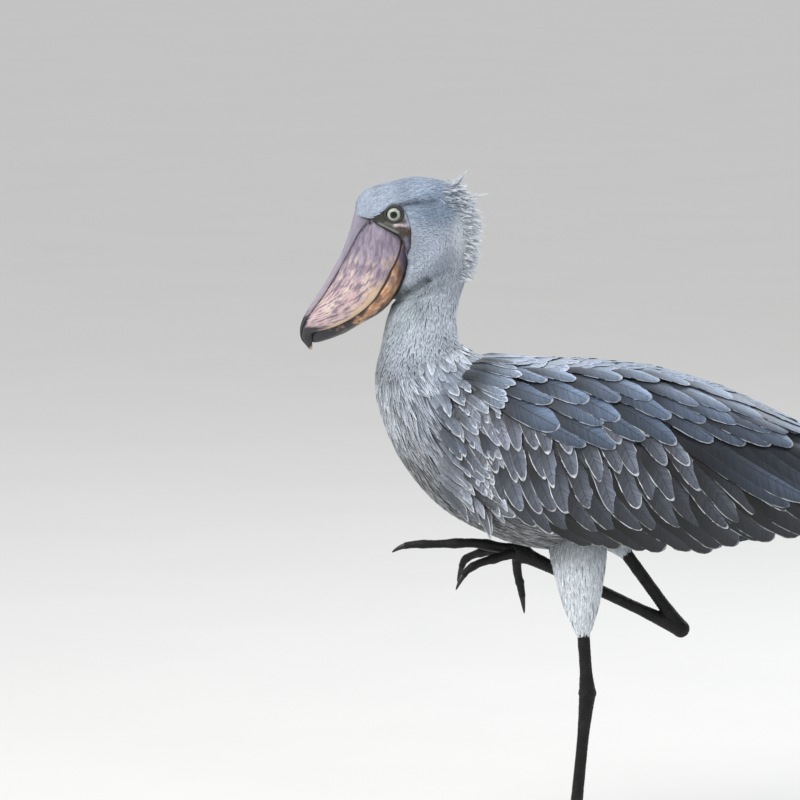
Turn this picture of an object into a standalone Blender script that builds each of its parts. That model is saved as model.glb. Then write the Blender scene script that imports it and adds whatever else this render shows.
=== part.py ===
"""Shoebill: a still, life-size model of the wading bird, stepping with its right foot raised.

Metres, +Z up. The bird faces -X and its left side is -Y. The origin is the middle of the sole of
the left foot, the one it stands on. Feathered surfaces are drawn at the outside of the coat.
"""

import math

import bmesh
import bpy
import numpy as np
from mathutils import Matrix, Vector

SEED = 7
GAP = 0.0003
CUT_GAP = 0.00045

# Colours, as red, green, blue, then roughness.
SLATE = ((0.27, 0.31, 0.36), 0.8)
PALE_SLATE = ((0.42, 0.46, 0.51), 0.85)
HORN = ((0.62, 0.5, 0.44), 0.45)
LEG_SKIN = ((0.05, 0.045, 0.04), 0.6)
CLAW_HORN = ((0.03, 0.028, 0.025), 0.4)
EYE_PALE = ((0.75, 0.77, 0.62), 0.1)

# Rings of the body from the tail root to the nape: top x, top z, bottom x, bottom z, half width.
BODY_SIDES = 24
BODY_BOX = 0.88  # under 1, the body's rings are boxier than an ellipse
BODY = (
    (0.400, 0.578, 0.400, 0.537, 0.030),
    (0.312, 0.613, 0.312, 0.510, 0.060),
    (0.221, 0.651, 0.228, 0.490, 0.083),
    (0.123, 0.686, 0.130, 0.472, 0.098),
    (0.025, 0.709, 0.028, 0.459, 0.107),
    (-0.059, 0.718, -0.062, 0.465, 0.107),
    (-0.110, 0.726, -0.126, 0.487, 0.101),
    (-0.133, 0.733, -0.185, 0.522, 0.092),
    (-0.146, 0.740, -0.235, 0.580, 0.082),
    (-0.153, 0.745, -0.264, 0.640, 0.070),
    (-0.157, 0.748, -0.276, 0.697, 0.059),
    (-0.160, 0.760, -0.267, 0.746, 0.051),
    (-0.162, 0.784, -0.259, 0.784, 0.048),
    (-0.158, 0.809, -0.252, 0.805, 0.047),
)
NECK_BASE = 10
BODY_LOW = 0.08  # how much wider a ring is below its middle than above it

# The head's rings fan about the throat: top x, top z, half width, from the nape to the forehead.
THROAT = (-0.2506, 0.804)
THROAT_RADIUS = 0.006
HEAD = (
    (-0.147, 0.848, 0.049),
    (-0.137, 0.896, 0.053),
    (-0.143, 0.942, 0.056),
    (-0.168, 0.972, 0.057),
    (-0.213, 0.983, 0.056),
    (-0.255, 0.976, 0.053),
    (-0.288, 0.965, 0.049),
    (-0.302, 0.948, 0.046),
    (-0.305, 0.931, 0.043),
)
HEAD_LOW = 0.16

# Upper mandible: ridge x, ridge z, edge x, edge z, half width, from the base to the hooked nail.
UPPER_BILL = (
    (-0.305, 0.930, -0.237, 0.899, 0.043),
    (-0.312, 0.904, -0.239, 0.885, 0.047),
    (-0.321, 0.881, -0.245, 0.869, 0.050),
    (-0.332, 0.858, -0.253, 0.854, 0.051),
    (-0.344, 0.837, -0.263, 0.833, 0.050),
    (-0.357, 0.816, -0.277, 0.812, 0.046),
    (-0.370, 0.797, -0.300, 0.792, 0.040),
    (-0.378, 0.781, -0.328, 0.776, 0.031),
    (-0.381, 0.767, -0.353, 0.768, 0.020),
    (-0.379, 0.755, -0.363, 0.764, 0.011),
    (-0.372, 0.746, -0.364, 0.756, 0.006),
    (-0.366, 0.739, -0.364, 0.741, 0.0015),
)
KEEL_WIDTH = (0.17, 0.30)  # of the half width: at the tip, and what the base adds
KEEL_DROP = (0.11, 0.20)  # of the depth, likewise
LOWER_BILL = (
    (-0.234, 0.900, -0.226, 0.866, 0.041),
    (-0.240, 0.883, -0.229, 0.848, 0.045),
    (-0.248, 0.864, -0.236, 0.833, 0.048),
    (-0.260, 0.836, -0.248, 0.815, 0.048),
    (-0.275, 0.815, -0.265, 0.796, 0.044),
    (-0.297, 0.795, -0.290, 0.780, 0.037),
    (-0.325, 0.778, -0.320, 0.763, 0.027),
    (-0.350, 0.770, -0.346, 0.753, 0.017),
    (-0.362, 0.764, -0.361, 0.750, 0.008),
    (-0.366, 0.760, -0.366, 0.755, 0.002),
)
BITE = 0.004  # how far the lower mandible's blank reaches up into the upper one before the cut

# What the bill takes from the front of the head, as x, z round its base.
FACE = (
    (-0.3045, 0.9311),
    (-0.2362, 0.9001),
    (-0.2265, 0.8655),
    (-0.2300, 0.8470),
    (-0.2366, 0.8325),
    (-0.2486, 0.8140),
    (-0.2900, 0.7700),
    (-0.3700, 0.8500),
    (-0.3400, 0.9450),
)
NOSTRIL = ((-0.288, 0.9105), 0.0085, 0.0011)  # x and z of its middle, half length, half height
NOSTRIL_PITCH = math.radians(-48)
EYE = ((-0.2485, 0.9335), 0.0375, 0.0123)  # x and z, distance from the middle, radius
LID_RADIUS = (0.0103, 0.0021)
BROW = ((-0.2465, 0.9498), 0.0405, (0.031, 0.0085, 0.0062), math.radians(-18))

# The folded wing's drape over the back and flank: x, top z, bottom z, half width of its ring.
DRAPE = (
    (-0.152, 0.735, 0.480, 0.105),
    (-0.060, 0.723, 0.420, 0.117),
    (0.040, 0.718, 0.406, 0.120),
    (0.125, 0.706, 0.406, 0.114),
    (0.220, 0.676, 0.401, 0.100),
    (0.320, 0.627, 0.431, 0.079),
    (0.417, 0.584, 0.464, 0.056),
    (0.515, 0.551, 0.498, 0.034),
)
# The wing core's edges on those rings, as angles from the top, and how thick it is.
WING_EDGES = (
    (68, 80, 0.006),
    (16, 106, 0.020),
    (6, 117, 0.022),
    (4, 118, 0.018),
    (4, 113, 0.012),
    (8, 104, 0.008),
    (28, 90, 0.006),
    (48, 76, 0.004),
)
WING_RINGS, WING_ROWS = 15, 8
WING_CORE_END = 6.4  # the row of the drape where the core gives way to free vanes

TAIL_ROOT = (0.4003, 0.5575)
TAIL_TIP = (0.529, 0.516)
TAIL_HALF = (0.026, 0.050)
TAIL_DEPTH = (0.014, 0.002)
TAIL_CORE = 0.72  # how much of the tail's length the core fills under the vanes
RECTRICES = 12

# Tiers of vanes on the folded wing, lowest first: how many, the curve of their roots and that of
# their tips as x and degrees from the top, half width, and how proud the tips stand.
TIERS = (
    (4, ((0.190, 94), (0.225, 85), (0.274, 75)), ((0.430, 107), (0.475, 105), (0.515, 96)), 0.0110, 0.0015),
    (
        7,
        ((-0.067, 101), (0.037, 97), (0.162, 84), (0.232, 73)),
        ((0.023, 118), (0.148, 119), (0.274, 111), (0.387, 106)),
        0.0165,
        0.0020,
    ),
    (
        7,
        ((-0.106, 91), (-0.019, 84), (0.092, 74), (0.176, 60)),
        ((-0.040, 108), (0.058, 106), (0.183, 103), (0.281, 92)),
        0.0150,
        0.0036,
    ),
    (
        7,
        ((-0.127, 83), (-0.047, 75), (0.037, 70), (0.120, 64)),
        ((-0.102, 107), (-0.019, 100), (0.064, 95), (0.162, 86)),
        0.0130,
        0.0040,
    ),
    (
        6,
        ((-0.130, 69), (-0.061, 68), (0.009, 65), (0.092, 62)),
        ((-0.113, 92), (-0.054, 88), (0.036, 86), (0.127, 76)),
        0.0120,
        0.0042,
    ),
    (
        5,
        ((0.106, 60), (0.162, 51), (0.232, 42), (0.285, 30)),
        ((0.295, 90), (0.358, 84), (0.430, 78), (0.468, 60)),
        0.0170,
        0.0034,
    ),
    (
        6,
        ((-0.116, 54), (-0.019, 43), (0.093, 40), (0.163, 34)),
        ((0.013, 70), (0.106, 65), (0.218, 53), (0.310, 40)),
        0.0170,
        0.0048,
    ),
    (
        5,
        ((-0.125, 36), (-0.018, 26), (0.094, 24), (0.178, 21)),
        ((-0.019, 50), (0.092, 48), (0.205, 38), (0.318, 22)),
        0.0160,
        0.0052,
    ),
)
VANE_SHARE = (0.0, 0.35, 0.78, 1.0)
VANE_WIDTH = (0.55, 0.95, 0.88, 0.22)
VANE_THICK = (0.0013, 0.0011, 0.0009, 0.0006)
VANE_SUNK = 0.0026
VANE_STEP = 0.0008  # each vane of a tier stands this much prouder than the one before it
VANE_ROLL = 0.10  # how far each vane tilts, so that it laps over its neighbour

# Crest locks: root x, y, z and tip x, y, z.
CREST = (
    ((-0.164, 0.000, 0.966), (-0.143, 0.001, 0.9945)),
    ((-0.170, 0.010, 0.966), (-0.154, 0.014, 0.9875)),
    ((-0.178, -0.008, 0.968), (-0.165, -0.012, 0.9810)),
    ((-0.154, -0.010, 0.950), (-0.129, -0.014, 0.9640)),
    ((-0.152, 0.004, 0.952), (-0.115, 0.007, 0.9590)),
    ((-0.153, 0.016, 0.940), (-0.130, 0.022, 0.9440)),
    ((-0.150, -0.004, 0.938), (-0.121, -0.007, 0.9330)),
    ((-0.150, 0.008, 0.926), (-0.124, 0.012, 0.9180)),
    ((-0.152, -0.018, 0.930), (-0.127, -0.024, 0.9230)),
    ((-0.148, 0.000, 0.916), (-0.119, 0.002, 0.9120)),
    ((-0.151, 0.018, 0.908), (-0.132, 0.023, 0.8960)),
    ((-0.148, -0.008, 0.902), (-0.130, -0.011, 0.8880)),
    ((-0.146, 0.006, 0.892), (-0.133, 0.008, 0.8780)),
    ((-0.156, -0.022, 0.946), (-0.137, -0.030, 0.9480)),
)
LOCK_RADII = (0.0032, 0.0024, 0.0006)

# Legs: x, y, z of each joint.
FOOT_JOINT_LEFT = Vector((0.0, 0.0, 0.018))
HEEL_LEFT = Vector((0.022, -0.016, 0.257))
KNEE_LEFT = Vector((0.003, -0.046, 0.525))
FOOT_JOINT_RIGHT = Vector((-0.073, 0.040, 0.449))
HEEL_RIGHT = Vector((0.155, 0.056, 0.338))
KNEE_RIGHT = Vector((-0.005, 0.052, 0.560))
FEATHER_END = {"left": 0.095, "right": 0.140}  # bare length of the shin above the heel
THIGH_PROFILE = ((0, 0.21, 0.5, 0.65, 0.8, 0.93, 1), (0.045, 0.042, 0.038, 0.032, 0.026, 0.0185, 0.0125))
SHIN_RADIUS = 0.0085
HEEL_RADIUS = 0.0125
TARSUS_RADIUS = 0.0078
ANKLE_RADIUS = 0.0105
LEG_SIDES = 12

# Toes: length without the claw, root radius, tip radius, how many joints show.
TOES = {
    "inner": (0.128, 0.0072, 0.0046, 2),
    "middle": (0.168, 0.0078, 0.0048, 3),
    "outer": (0.132, 0.0072, 0.0046, 3),
    "hind": (0.078, 0.0068, 0.0048, 1),
}
TOE_RINGS = 10
CLAW_LENGTH = 0.017
LEFT_TOE_HEADINGS = {"inner": 33, "middle": 2, "outer": -31, "hind": 183}
SOLE_FLAT = 0.0012  # how far the toes are pressed flat
RIGHT_TOE_PATHS = {
    "inner": ((-0.078, 0.034, 0.4484), (-0.105, 0.026, 0.4423), (-0.1316, 0.016, 0.435),
              (-0.1456, 0.010, 0.4273), (-0.1526, 0.006, 0.4193)),
    "middle": ((-0.0728, 0.040, 0.4533), (-0.1008, 0.040, 0.4554), (-0.1218, 0.040, 0.4596),
               (-0.1428, 0.040, 0.4617), (-0.1848, 0.040, 0.4603), (-0.2198, 0.040, 0.4596),
               (-0.2352, 0.040, 0.4575)),
    "outer": ((-0.081, 0.046, 0.4526), (-0.1078, 0.056, 0.4487), (-0.1316, 0.066, 0.4433),
              (-0.1484, 0.074, 0.434), (-0.154, 0.078, 0.4224)),
    "hind": ((-0.077, 0.042, 0.4405), (-0.0756, 0.044, 0.4192), (-0.0714, 0.046, 0.4008),
             (-0.0686, 0.046, 0.384)),
}


def clear_scene():
    for obj in list(bpy.data.objects):
        bpy.data.objects.remove(obj, do_unlink=True)


def finish(name, look):
    colour, roughness = look
    made = bpy.data.materials.new(name)
    made.use_nodes = True
    shader = made.node_tree.nodes["Principled BSDF"]
    shader.inputs["Base Color"].default_value = (*colour, 1)
    shader.inputs["Roughness"].default_value = roughness
    shader.inputs["Metallic"].default_value = 0
    made.diffuse_color = (*colour, 1)
    return made


def add_object(name, mesh, look=None):
    obj = bpy.data.objects.new(name, mesh)
    BIRD.objects.link(obj)
    if look:
        mesh.materials.clear()
        mesh.materials.append(finish(name, look))
    return obj


def spline(rows, at):
    """Catmull-Rom curve through the rows, which lie at the whole numbers of `at`."""
    rows = np.asarray(rows, float)
    at = np.clip(np.asarray(at, float), 0, len(rows) - 1)
    low = np.minimum(at.astype(int), len(rows) - 2)
    t = (at - low)[..., None]
    padded = np.vstack([2 * rows[0] - rows[1], rows, 2 * rows[-1] - rows[-2]])
    a, b, c, d = (padded[low + k] for k in range(4))
    bend = 2 * a - 5 * b + 4 * c - d + t * (3 * (b - c) + d - a)
    return b + 0.5 * t * (c - a + t * bend)


def mesh_from_rings(name, rings, look=None, solid_caps=True):
    """A closed skin over rings of equal count, with a flat cap at each end."""
    count, sides = len(rings), len(rings[0])
    points = np.asarray(rings, float).reshape(-1, 3)
    faces = []
    for i in range(count - 1):
        for j in range(sides):
            k = (j + 1) % sides
            faces.append((i * sides + j, i * sides + k, (i + 1) * sides + k, (i + 1) * sides + j))
    if solid_caps:
        faces.append(tuple(range(sides)))
        faces.append(tuple((count - 1) * sides + j for j in range(sides)))
    mesh = bpy.data.meshes.new(name)
    mesh.from_pydata(points.tolist(), [], faces)
    recalculate(mesh)
    return add_object(name, mesh, look)


def recalculate(mesh):
    work = bmesh.new()
    work.from_mesh(mesh)
    bmesh.ops.remove_doubles(work, verts=work.verts, dist=1e-6)
    bmesh.ops.dissolve_degenerate(work, edges=work.edges, dist=1e-6)
    bmesh.ops.recalc_face_normals(work, faces=work.faces)
    bmesh.ops.triangulate(work, faces=work.faces)
    work.to_mesh(mesh)
    work.free()
    mesh.shade_smooth()


def bowed(values, power):
    return np.sign(values) * np.abs(values) ** power


def body_ring(top, bottom, half, low, sides=BODY_SIDES):
    """Points round a ring that stands on the line from bottom to top, wider low down."""
    angle = np.arange(sides) * 2 * math.pi / sides
    top = np.array([top[0], 0, top[1]])
    bottom = np.array([bottom[0], 0, bottom[1]])
    rise, width = bowed(np.cos(angle), BODY_BOX), bowed(np.sin(angle), BODY_BOX)
    up = rise[:, None] * (top - bottom) / 2
    out = (half * width * (1 - low * rise))[:, None] * np.array([0, 1, 0])
    return (top + bottom) / 2 + up + out


def body_rings(first, last, count):
    stations = spline(BODY, np.linspace(first, last, count))
    return [body_ring(s[:2], s[2:4], s[4], BODY_LOW) for s in stations]


def head_rings(count):
    rings = []
    throat = np.array(THROAT)
    nape = body_rings(len(BODY) - 1, len(BODY) - 1, 1)[0]
    for x, z, half in spline(HEAD, np.linspace(0, len(HEAD) - 1, count)):
        top = np.array([x, z])
        reach = (top - throat) / np.linalg.norm(top - throat)
        rings.append(body_ring(top, throat + THROAT_RADIUS * reach, half, HEAD_LOW))
    return [nape] + rings


def nudge(ring, step):
    """The same ring moved along its own axis."""
    ring = np.asarray(ring)
    axis = np.cross(ring[len(ring) // 4] - ring[0], ring[len(ring) // 2] - ring[0])
    return ring + step * axis / np.linalg.norm(axis)


def set_apart(rings, head_side=False, tail_side=False):
    """Pulls the end rings in by half a gap, so that the next node's face is a gap away."""
    rings = list(rings)
    ahead = np.mean(rings[1], axis=0) - np.mean(rings[0], axis=0)
    sign = 1 if np.dot(nudge(rings[0], 1)[0] - rings[0][0], ahead) > 0 else -1
    if tail_side:
        rings[0] = nudge(rings[0], sign * GAP / 2)
    if head_side:
        rings[-1] = nudge(rings[-1], -sign * GAP / 2)
    return rings


def tube(name, path, radii, across=(0, 1, 0), look=None, sides=LEG_SIDES, flat=1.0):
    """A tapered tube: rings square to the path, `flat` times as wide along `across`."""
    path = np.asarray(path, float)
    radii = np.asarray(radii, float)
    ahead = np.gradient(path, axis=0)
    ahead /= np.linalg.norm(ahead, axis=1)[:, None]
    across = np.asarray(across, float)
    side = across - (ahead @ across)[:, None] * ahead
    side /= np.linalg.norm(side, axis=1)[:, None]
    up = np.cross(ahead, side)
    angle = (np.arange(sides) + 0.5) * 2 * math.pi / sides
    rings = [
        p + r * (np.cos(angle)[:, None] * u + flat * np.sin(angle)[:, None] * s)
        for p, r, u, s in zip(path, radii, up, side)
    ]
    return mesh_from_rings(name, rings, look)


def ellipsoid(name, centre, radii, pitch=0.0, segments=16, rings=10, look=None):
    mesh = bpy.data.meshes.new(name)
    work = bmesh.new()
    bmesh.ops.create_uvsphere(work, u_segments=segments, v_segments=rings, radius=1)
    place = Matrix.Translation(centre) @ Matrix.Rotation(pitch, 4, "Y") @ Matrix.Diagonal((*radii, 1))
    bmesh.ops.transform(work, matrix=place, verts=work.verts)
    bmesh.ops.triangulate(work, faces=work.faces)
    work.to_mesh(mesh)
    work.free()
    mesh.shade_smooth()
    return add_object(name, mesh, look)


def torus(name, centre, axis, radius, thickness, segments=12, sides=5):
    angle = np.arange(segments) * 2 * math.pi / segments
    axis = Vector(axis).normalized()
    first = axis.orthogonal().normalized()
    second = axis.cross(first)
    rings = []
    for a in angle:
        out = first * math.cos(a) + second * math.sin(a)
        around = np.arange(sides) * 2 * math.pi / sides
        rings.append([
            Vector(centre) + out * (radius + thickness * math.cos(b)) + axis * thickness * math.sin(b)
            for b in around
        ])
    return mesh_from_rings(name, rings + [rings[0]], solid_caps=False)


def settle(obj):
    """Applies the object's modifiers and keeps only its largest closed surface."""
    bpy.context.view_layer.update()
    graph = bpy.context.evaluated_depsgraph_get()
    mesh = bpy.data.meshes.new_from_object(obj.evaluated_get(graph))
    obj.modifiers.clear()
    obj.data = mesh
    keep_largest(mesh)


def keep_largest(mesh):
    work = bmesh.new()
    work.from_mesh(mesh)
    bmesh.ops.triangulate(work, faces=work.faces)
    left = set(work.faces)
    shells = []
    while left:
        front = [left.pop()]
        shell = set(front)
        while front:
            for edge in front.pop().edges:
                if len(edge.link_faces) != 2:
                    continue
                new = [face for face in edge.link_faces if face in left]
                left.difference_update(new)
                shell.update(new)
                front.extend(new)
        shells.append(shell)
    largest = max(shells, key=shell_volume)
    spare = [face for face in work.faces if face not in largest]
    bmesh.ops.delete(work, geom=spare, context="FACES")
    work.to_mesh(mesh)
    work.free()
    mesh.shade_smooth()


def shell_volume(shell):
    total = 0.0
    for face in shell:
        a, b, c = (v.co for v in face.verts)
        total += a.dot(b.cross(c)) / 6
    return total


def combine(obj, others, operation):
    """Joins to or cuts from obj all the others at once, and removes them."""
    tools = bpy.data.collections.new("tools")
    bpy.context.scene.collection.children.link(tools)
    for other in others:
        for home in list(other.users_collection):
            home.objects.unlink(other)
        tools.objects.link(other)
        other.hide_render = True
        other.display_type = "WIRE"
    boolean = obj.modifiers.new(operation.lower(), "BOOLEAN")
    boolean.operation = operation
    boolean.operand_type = "COLLECTION"
    boolean.collection = tools
    boolean.solver = "MANIFOLD"
    settle(obj)
    for other in others:
        bpy.data.objects.remove(other, do_unlink=True)
    bpy.data.collections.remove(tools)


def grown(obj, by=CUT_GAP):
    """A copy with its surface moved out, to cut a neighbour clear of it."""
    mesh = obj.data.copy()
    work = bmesh.new()
    work.from_mesh(mesh)
    bmesh.ops.recalc_face_normals(work, faces=work.faces)
    work.normal_update()
    shifts = [v.normal * v.calc_shell_factor() * by for v in work.verts]
    for vert, shift in zip(work.verts, shifts):
        vert.co += shift
    work.to_mesh(mesh)
    work.free()
    return add_object(obj.name + "_cutter", mesh)


def cut_clear(obj, *neighbours):
    combine(obj, [grown(n) for n in neighbours], "DIFFERENCE")


def cut_below(obj, height):
    """Presses the underside flat at that height."""
    work = bmesh.new()
    work.from_mesh(obj.data)
    geometry = work.verts[:] + work.edges[:] + work.faces[:]
    bmesh.ops.bisect_plane(
        work, geom=geometry, plane_co=(0, 0, height), plane_no=(0, 0, -1), clear_outer=True
    )
    open_edges = [e for e in work.edges if e.is_boundary]
    bmesh.ops.holes_fill(work, edges=open_edges, sides=0)
    bmesh.ops.triangulate(work, faces=work.faces)
    bmesh.ops.recalc_face_normals(work, faces=work.faces)
    work.to_mesh(obj.data)
    work.free()
    obj.data.shade_smooth()


def bill_section(kind, station, share):
    """Ring of a mandible; share runs from 0 at the base to 1 at the tip."""
    top = np.array([station[0], 0, station[1]])
    edge = np.array([station[2], 0, station[3]])
    half = station[4]
    if kind == "upper":
        near_base = math.exp(-share * 14)
        keel = KEEL_WIDTH[0] + KEEL_WIDTH[1] * near_base
        drop = KEEL_DROP[0] + KEEL_DROP[1] * near_base
        outline = [(0, 0), (keel * 0.7, 0.015), (keel, drop * 0.7), (keel * 1.12, drop)]
        for t in (0.33, 0.66, 1.0):
            turn = t * math.pi / 2
            out = keel * 1.12 + (1 - keel * 1.12) * math.sin(turn) ** 0.85
            outline.append((out, drop + (0.92 - drop) * (1 - math.cos(turn))))
        outline += [(0.94, 1.0), (0.5, 0.97), (0, 0.955)]
    else:
        outline = [(0, 0.0), (0.55, 0.0), (0.95, 0.0), (1.0, 0.12)]
        for t in (0.25, 0.5, 0.75, 1.0):
            turn = t * math.pi / 2
            outline.append((math.cos(turn) ** 0.8, 0.12 + 0.88 * math.sin(turn)))
        outline[-1] = (0, 1.0)
    right = [(y, d) for y, d in outline]
    left = [(-y, d) for y, d in reversed(outline[1:-1])]
    return [top + (edge - top) * d + np.array([0, y * half, 0]) for y, d in right + left]


def make_bill():
    count = 22
    shares = np.linspace(0, 1, count)
    rows = spline(UPPER_BILL, shares * (len(UPPER_BILL) - 1))
    upper_rings = [bill_section("upper", row, share) for row, share in zip(rows, shares)]
    upper = mesh_from_rings("bill_upper", upper_rings, HORN)
    slits = []
    (x, z), reach, rise = NOSTRIL
    for side in (-1, 1):
        centre = (x, side * 0.020, z)
        slits.append(ellipsoid("nostril", centre, (reach, 0.012, rise), NOSTRIL_PITCH, 10, 6))
    combine(upper, slits, "DIFFERENCE")

    count = 16
    shares = np.linspace(0, 1, count)
    rows = spline(LOWER_BILL, shares * (len(LOWER_BILL) - 1))
    blank = []
    for row, share in zip(rows, shares):
        top, low = np.array(row[0:2]), np.array(row[2:4])
        top = top + (top - low) / np.linalg.norm(top - low) * BITE
        blank.append(bill_section("lower", (*top, *low, row[4]), share))
    lower = mesh_from_rings("bill_lower", blank, HORN)
    cut_clear(lower, upper)
    return upper, lower


def prism(name, outline, half):
    """The (x, z) outline carried right across the bird."""
    rings = [[(x, y, z) for x, z in outline] for y in (-half, half)]
    return mesh_from_rings(name, rings)


def make_body():
    torso = mesh_from_rings(
        "torso", set_apart(body_rings(0, NECK_BASE, 19), head_side=True, tail_side=True), SLATE
    )
    neck = mesh_from_rings(
        "neck", set_apart(body_rings(NECK_BASE, len(BODY) - 1, 7), True, True), PALE_SLATE
    )
    head = mesh_from_rings("head", set_apart(head_rings(15), tail_side=True), PALE_SLATE)
    return torso, neck, head


def make_eyes(head):
    (x, z), out, radius = EYE
    lids = []
    eyes = []
    for side, name in ((-1, "eye_left"), (1, "eye_right")):
        rim = math.sqrt(radius**2 - LID_RADIUS[0] ** 2)
        axis = Vector((-0.12, side, 0.02)).normalized()
        centre = Vector((x, side * out, z))
        lids.append(torus(name + "_lid", centre + axis * rim, axis, *LID_RADIUS))
        (bx, bz), brow_out, brow_radii, pitch = BROW
        lids.append(ellipsoid(name + "_brow", (bx, side * brow_out, bz), brow_radii, pitch, 10, 6))
        eyes.append(ellipsoid(name, centre, (radius,) * 3, segments=12, rings=8, look=EYE_PALE))
    combine(head, lids + [crest_lock(*lock) for lock in CREST], "UNION")
    combine(head, [prism("face", FACE, 0.09)], "DIFFERENCE")
    return eyes


def drape(x, angle, lift=0.0, side=-1):
    """Point on the wing's outer surface at x and an angle from the top, raised by lift."""
    rows = np.array(DRAPE)
    at = np.interp(x, rows[:, 0], np.arange(len(rows)))
    row = spline(rows, at)
    middle = (row[..., 1] + row[..., 2]) / 2
    rise = (row[..., 1] - row[..., 2]) / 2
    half = row[..., 3]
    sine, cosine = np.sin(angle), np.cos(angle)
    normal = np.stack([bowed(sine, 2 - BODY_BOX) / half, bowed(cosine, 2 - BODY_BOX) / rise], axis=-1)
    normal /= np.linalg.norm(normal, axis=-1)[..., None]
    y = half * bowed(sine, BODY_BOX) + normal[..., 0] * lift
    z = middle + rise * bowed(cosine, BODY_BOX) + normal[..., 1] * lift
    return np.stack([np.broadcast_to(x, y.shape), side * y, z], axis=-1)


def wing_core(name, side):
    """A lens that follows the drape outside and is hollowed to the torso by the cut."""
    at = np.linspace(0, WING_CORE_END, WING_RINGS)
    xs = spline([[row[0]] for row in DRAPE], at)[:, 0]
    rings = []
    for x, (start, end, depth) in zip(xs, spline(WING_EDGES, at)):
        share = np.linspace(0, 1, WING_ROWS)
        angle = np.radians(start + (end - start) * share)
        body = depth * (1 - (2 * share - 1) ** 4) ** 0.5 + 0.0008
        outer = drape(np.full(WING_ROWS, x), angle, 0.0, side)
        inner = drape(np.full(WING_ROWS, x), angle, -body, side)
        rings.append(np.vstack([outer, inner[::-1]]))
    return mesh_from_rings(name, rings, SLATE)


def vane_mesh(name, middle, normal, ahead, half, roll):
    """One feather: two faces split alike into triangles, joined by a rim."""
    across = unit(np.cross(normal, ahead))
    width = (half * np.array(VANE_WIDTH))[:, None]
    left = middle - across * width - normal * roll * width
    right = middle + across * width + normal * roll * width
    top = np.stack([left, right], axis=1)
    under = top - normal[:, None] * np.array(VANE_THICK)[:, None, None]
    shift = 2 * len(middle)
    faces = [(0, 1, 1 + shift), (0, 1 + shift, shift)]
    for a in range(0, shift - 2, 2):
        b, c, d = a + 1, a + 2, a + 3
        faces += [(a, b, d), (a, d, c), (a + shift, d + shift, b + shift), (a + shift, c + shift, d + shift)]
        faces += [(a, c, c + shift), (a, c + shift, a + shift), (b, d, d + shift), (b, d + shift, b + shift)]
    a, b = shift - 2, shift - 1
    faces += [(a, b, b + shift), (a, b + shift, a + shift)]
    mesh = bpy.data.meshes.new(name)
    points = np.concatenate([top.reshape(-1, 3), under.reshape(-1, 3)])
    mesh.from_pydata(points.tolist(), [], faces)
    recalculate(mesh)
    return add_object(name, mesh)


def unit(rows):
    return rows / np.linalg.norm(rows, axis=-1)[..., None]


def wing_vane(root, tip, half, proud, side):
    """A vane from its root, sunk in the core, along the drape to its free tip."""
    share = np.array(VANE_SHARE)
    x = root[0] + (tip[0] - root[0]) * share
    angle = np.radians(root[1] + (tip[1] - root[1]) * share**1.25)
    rise = np.interp(share, (0, 0.35, 0.78, 1), (-VANE_SUNK, 0.45 * proud, 0.8 * proud, proud))
    middle = drape(x, angle, rise, side)
    normal = unit(drape(x, angle, rise + 0.001, side) - middle)
    ahead = unit(np.gradient(middle, axis=0))
    return vane_mesh("vane", middle, normal, ahead, half, side * VANE_ROLL)


def wing_vanes(side, chance):
    """All the tiers of one wing, each vane a little off its place."""
    vanes = []
    for count, roots, tips, half, proud in TIERS:
        share = np.linspace(0, 1, count)
        starts = spline(roots, share * (len(roots) - 1))
        ends = spline(tips, share * (len(tips) - 1))
        for k, (start, end) in enumerate(zip(starts, ends)):
            start = start + chance.uniform(-1, 1, 2) * (0.002, 0.6)
            end = end + chance.uniform(-1, 1, 2) * (0.004, 0.9)
            width = half * chance.uniform(0.93, 1.07)
            vanes.append(wing_vane(start, end, width, proud + k * VANE_STEP, side))
    return vanes


def tail_point(t, y, lift=0.0):
    x = TAIL_ROOT[0] + (TAIL_TIP[0] - TAIL_ROOT[0]) * t
    z = TAIL_ROOT[1] + (TAIL_TIP[1] - TAIL_ROOT[1]) * t - 2 * y**2 + lift
    return np.stack([x, y, z], axis=-1)


def make_tail(chance):
    """A short core with the tail feathers fanned over it, the middle pair on top."""
    rings = []
    for t in np.linspace(0, TAIL_CORE, 6):
        half = TAIL_HALF[0] + (TAIL_HALF[1] - TAIL_HALF[0]) * 0.8 * t
        depth = TAIL_DEPTH[0] + (TAIL_DEPTH[1] - TAIL_DEPTH[0]) * t**0.8
        angle = np.arange(14) * 2 * math.pi / 14
        y = half * np.cos(angle)
        rings.append(tail_point(np.full(14, t), y, depth * np.sin(angle) - 0.5 * depth * t))
    tail = mesh_from_rings("tail", rings, SLATE)
    vanes = []
    share = np.array(VANE_SHARE)
    for place in np.linspace(-1, 1, RECTRICES):
        inner = 1 - abs(place)
        start, end = 0.16 + 0.05 * inner, 1 - 0.07 * (1 - inner) - 0.02 * chance.random()
        t = start + (end - start) * share
        y = place * (TAIL_HALF[0] * 0.75 + (TAIL_HALF[1] * 0.86 - TAIL_HALF[0] * 0.75) * share)
        rise = np.interp(share, (0, 1), (0.003, 0.0005)) + 0.004 * inner
        middle = tail_point(t, y, rise)
        normal = unit(np.stack([0 * y + 0.41, 4 * y, 0 * y + 1], axis=-1))
        ahead = unit(np.gradient(middle, axis=0))
        vanes.append(vane_mesh("rectrix", middle, normal, ahead, 0.0105, np.sign(place) * VANE_ROLL))
    combine(tail, vanes, "UNION")
    return tail


def crest_lock(root, tip):
    """A tapered wisp from inside the nape, its tip turned a little upwards."""
    root, tip = Vector(root), Vector(tip)
    path = []
    for t in (0, 0.55, 1.0):
        path.append(root.lerp(tip, t) + Vector((0, 0, -0.0015)) * math.sin(t * math.pi))
    return tube("lock", path, LOCK_RADII, sides=4, flat=1.5)


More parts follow.
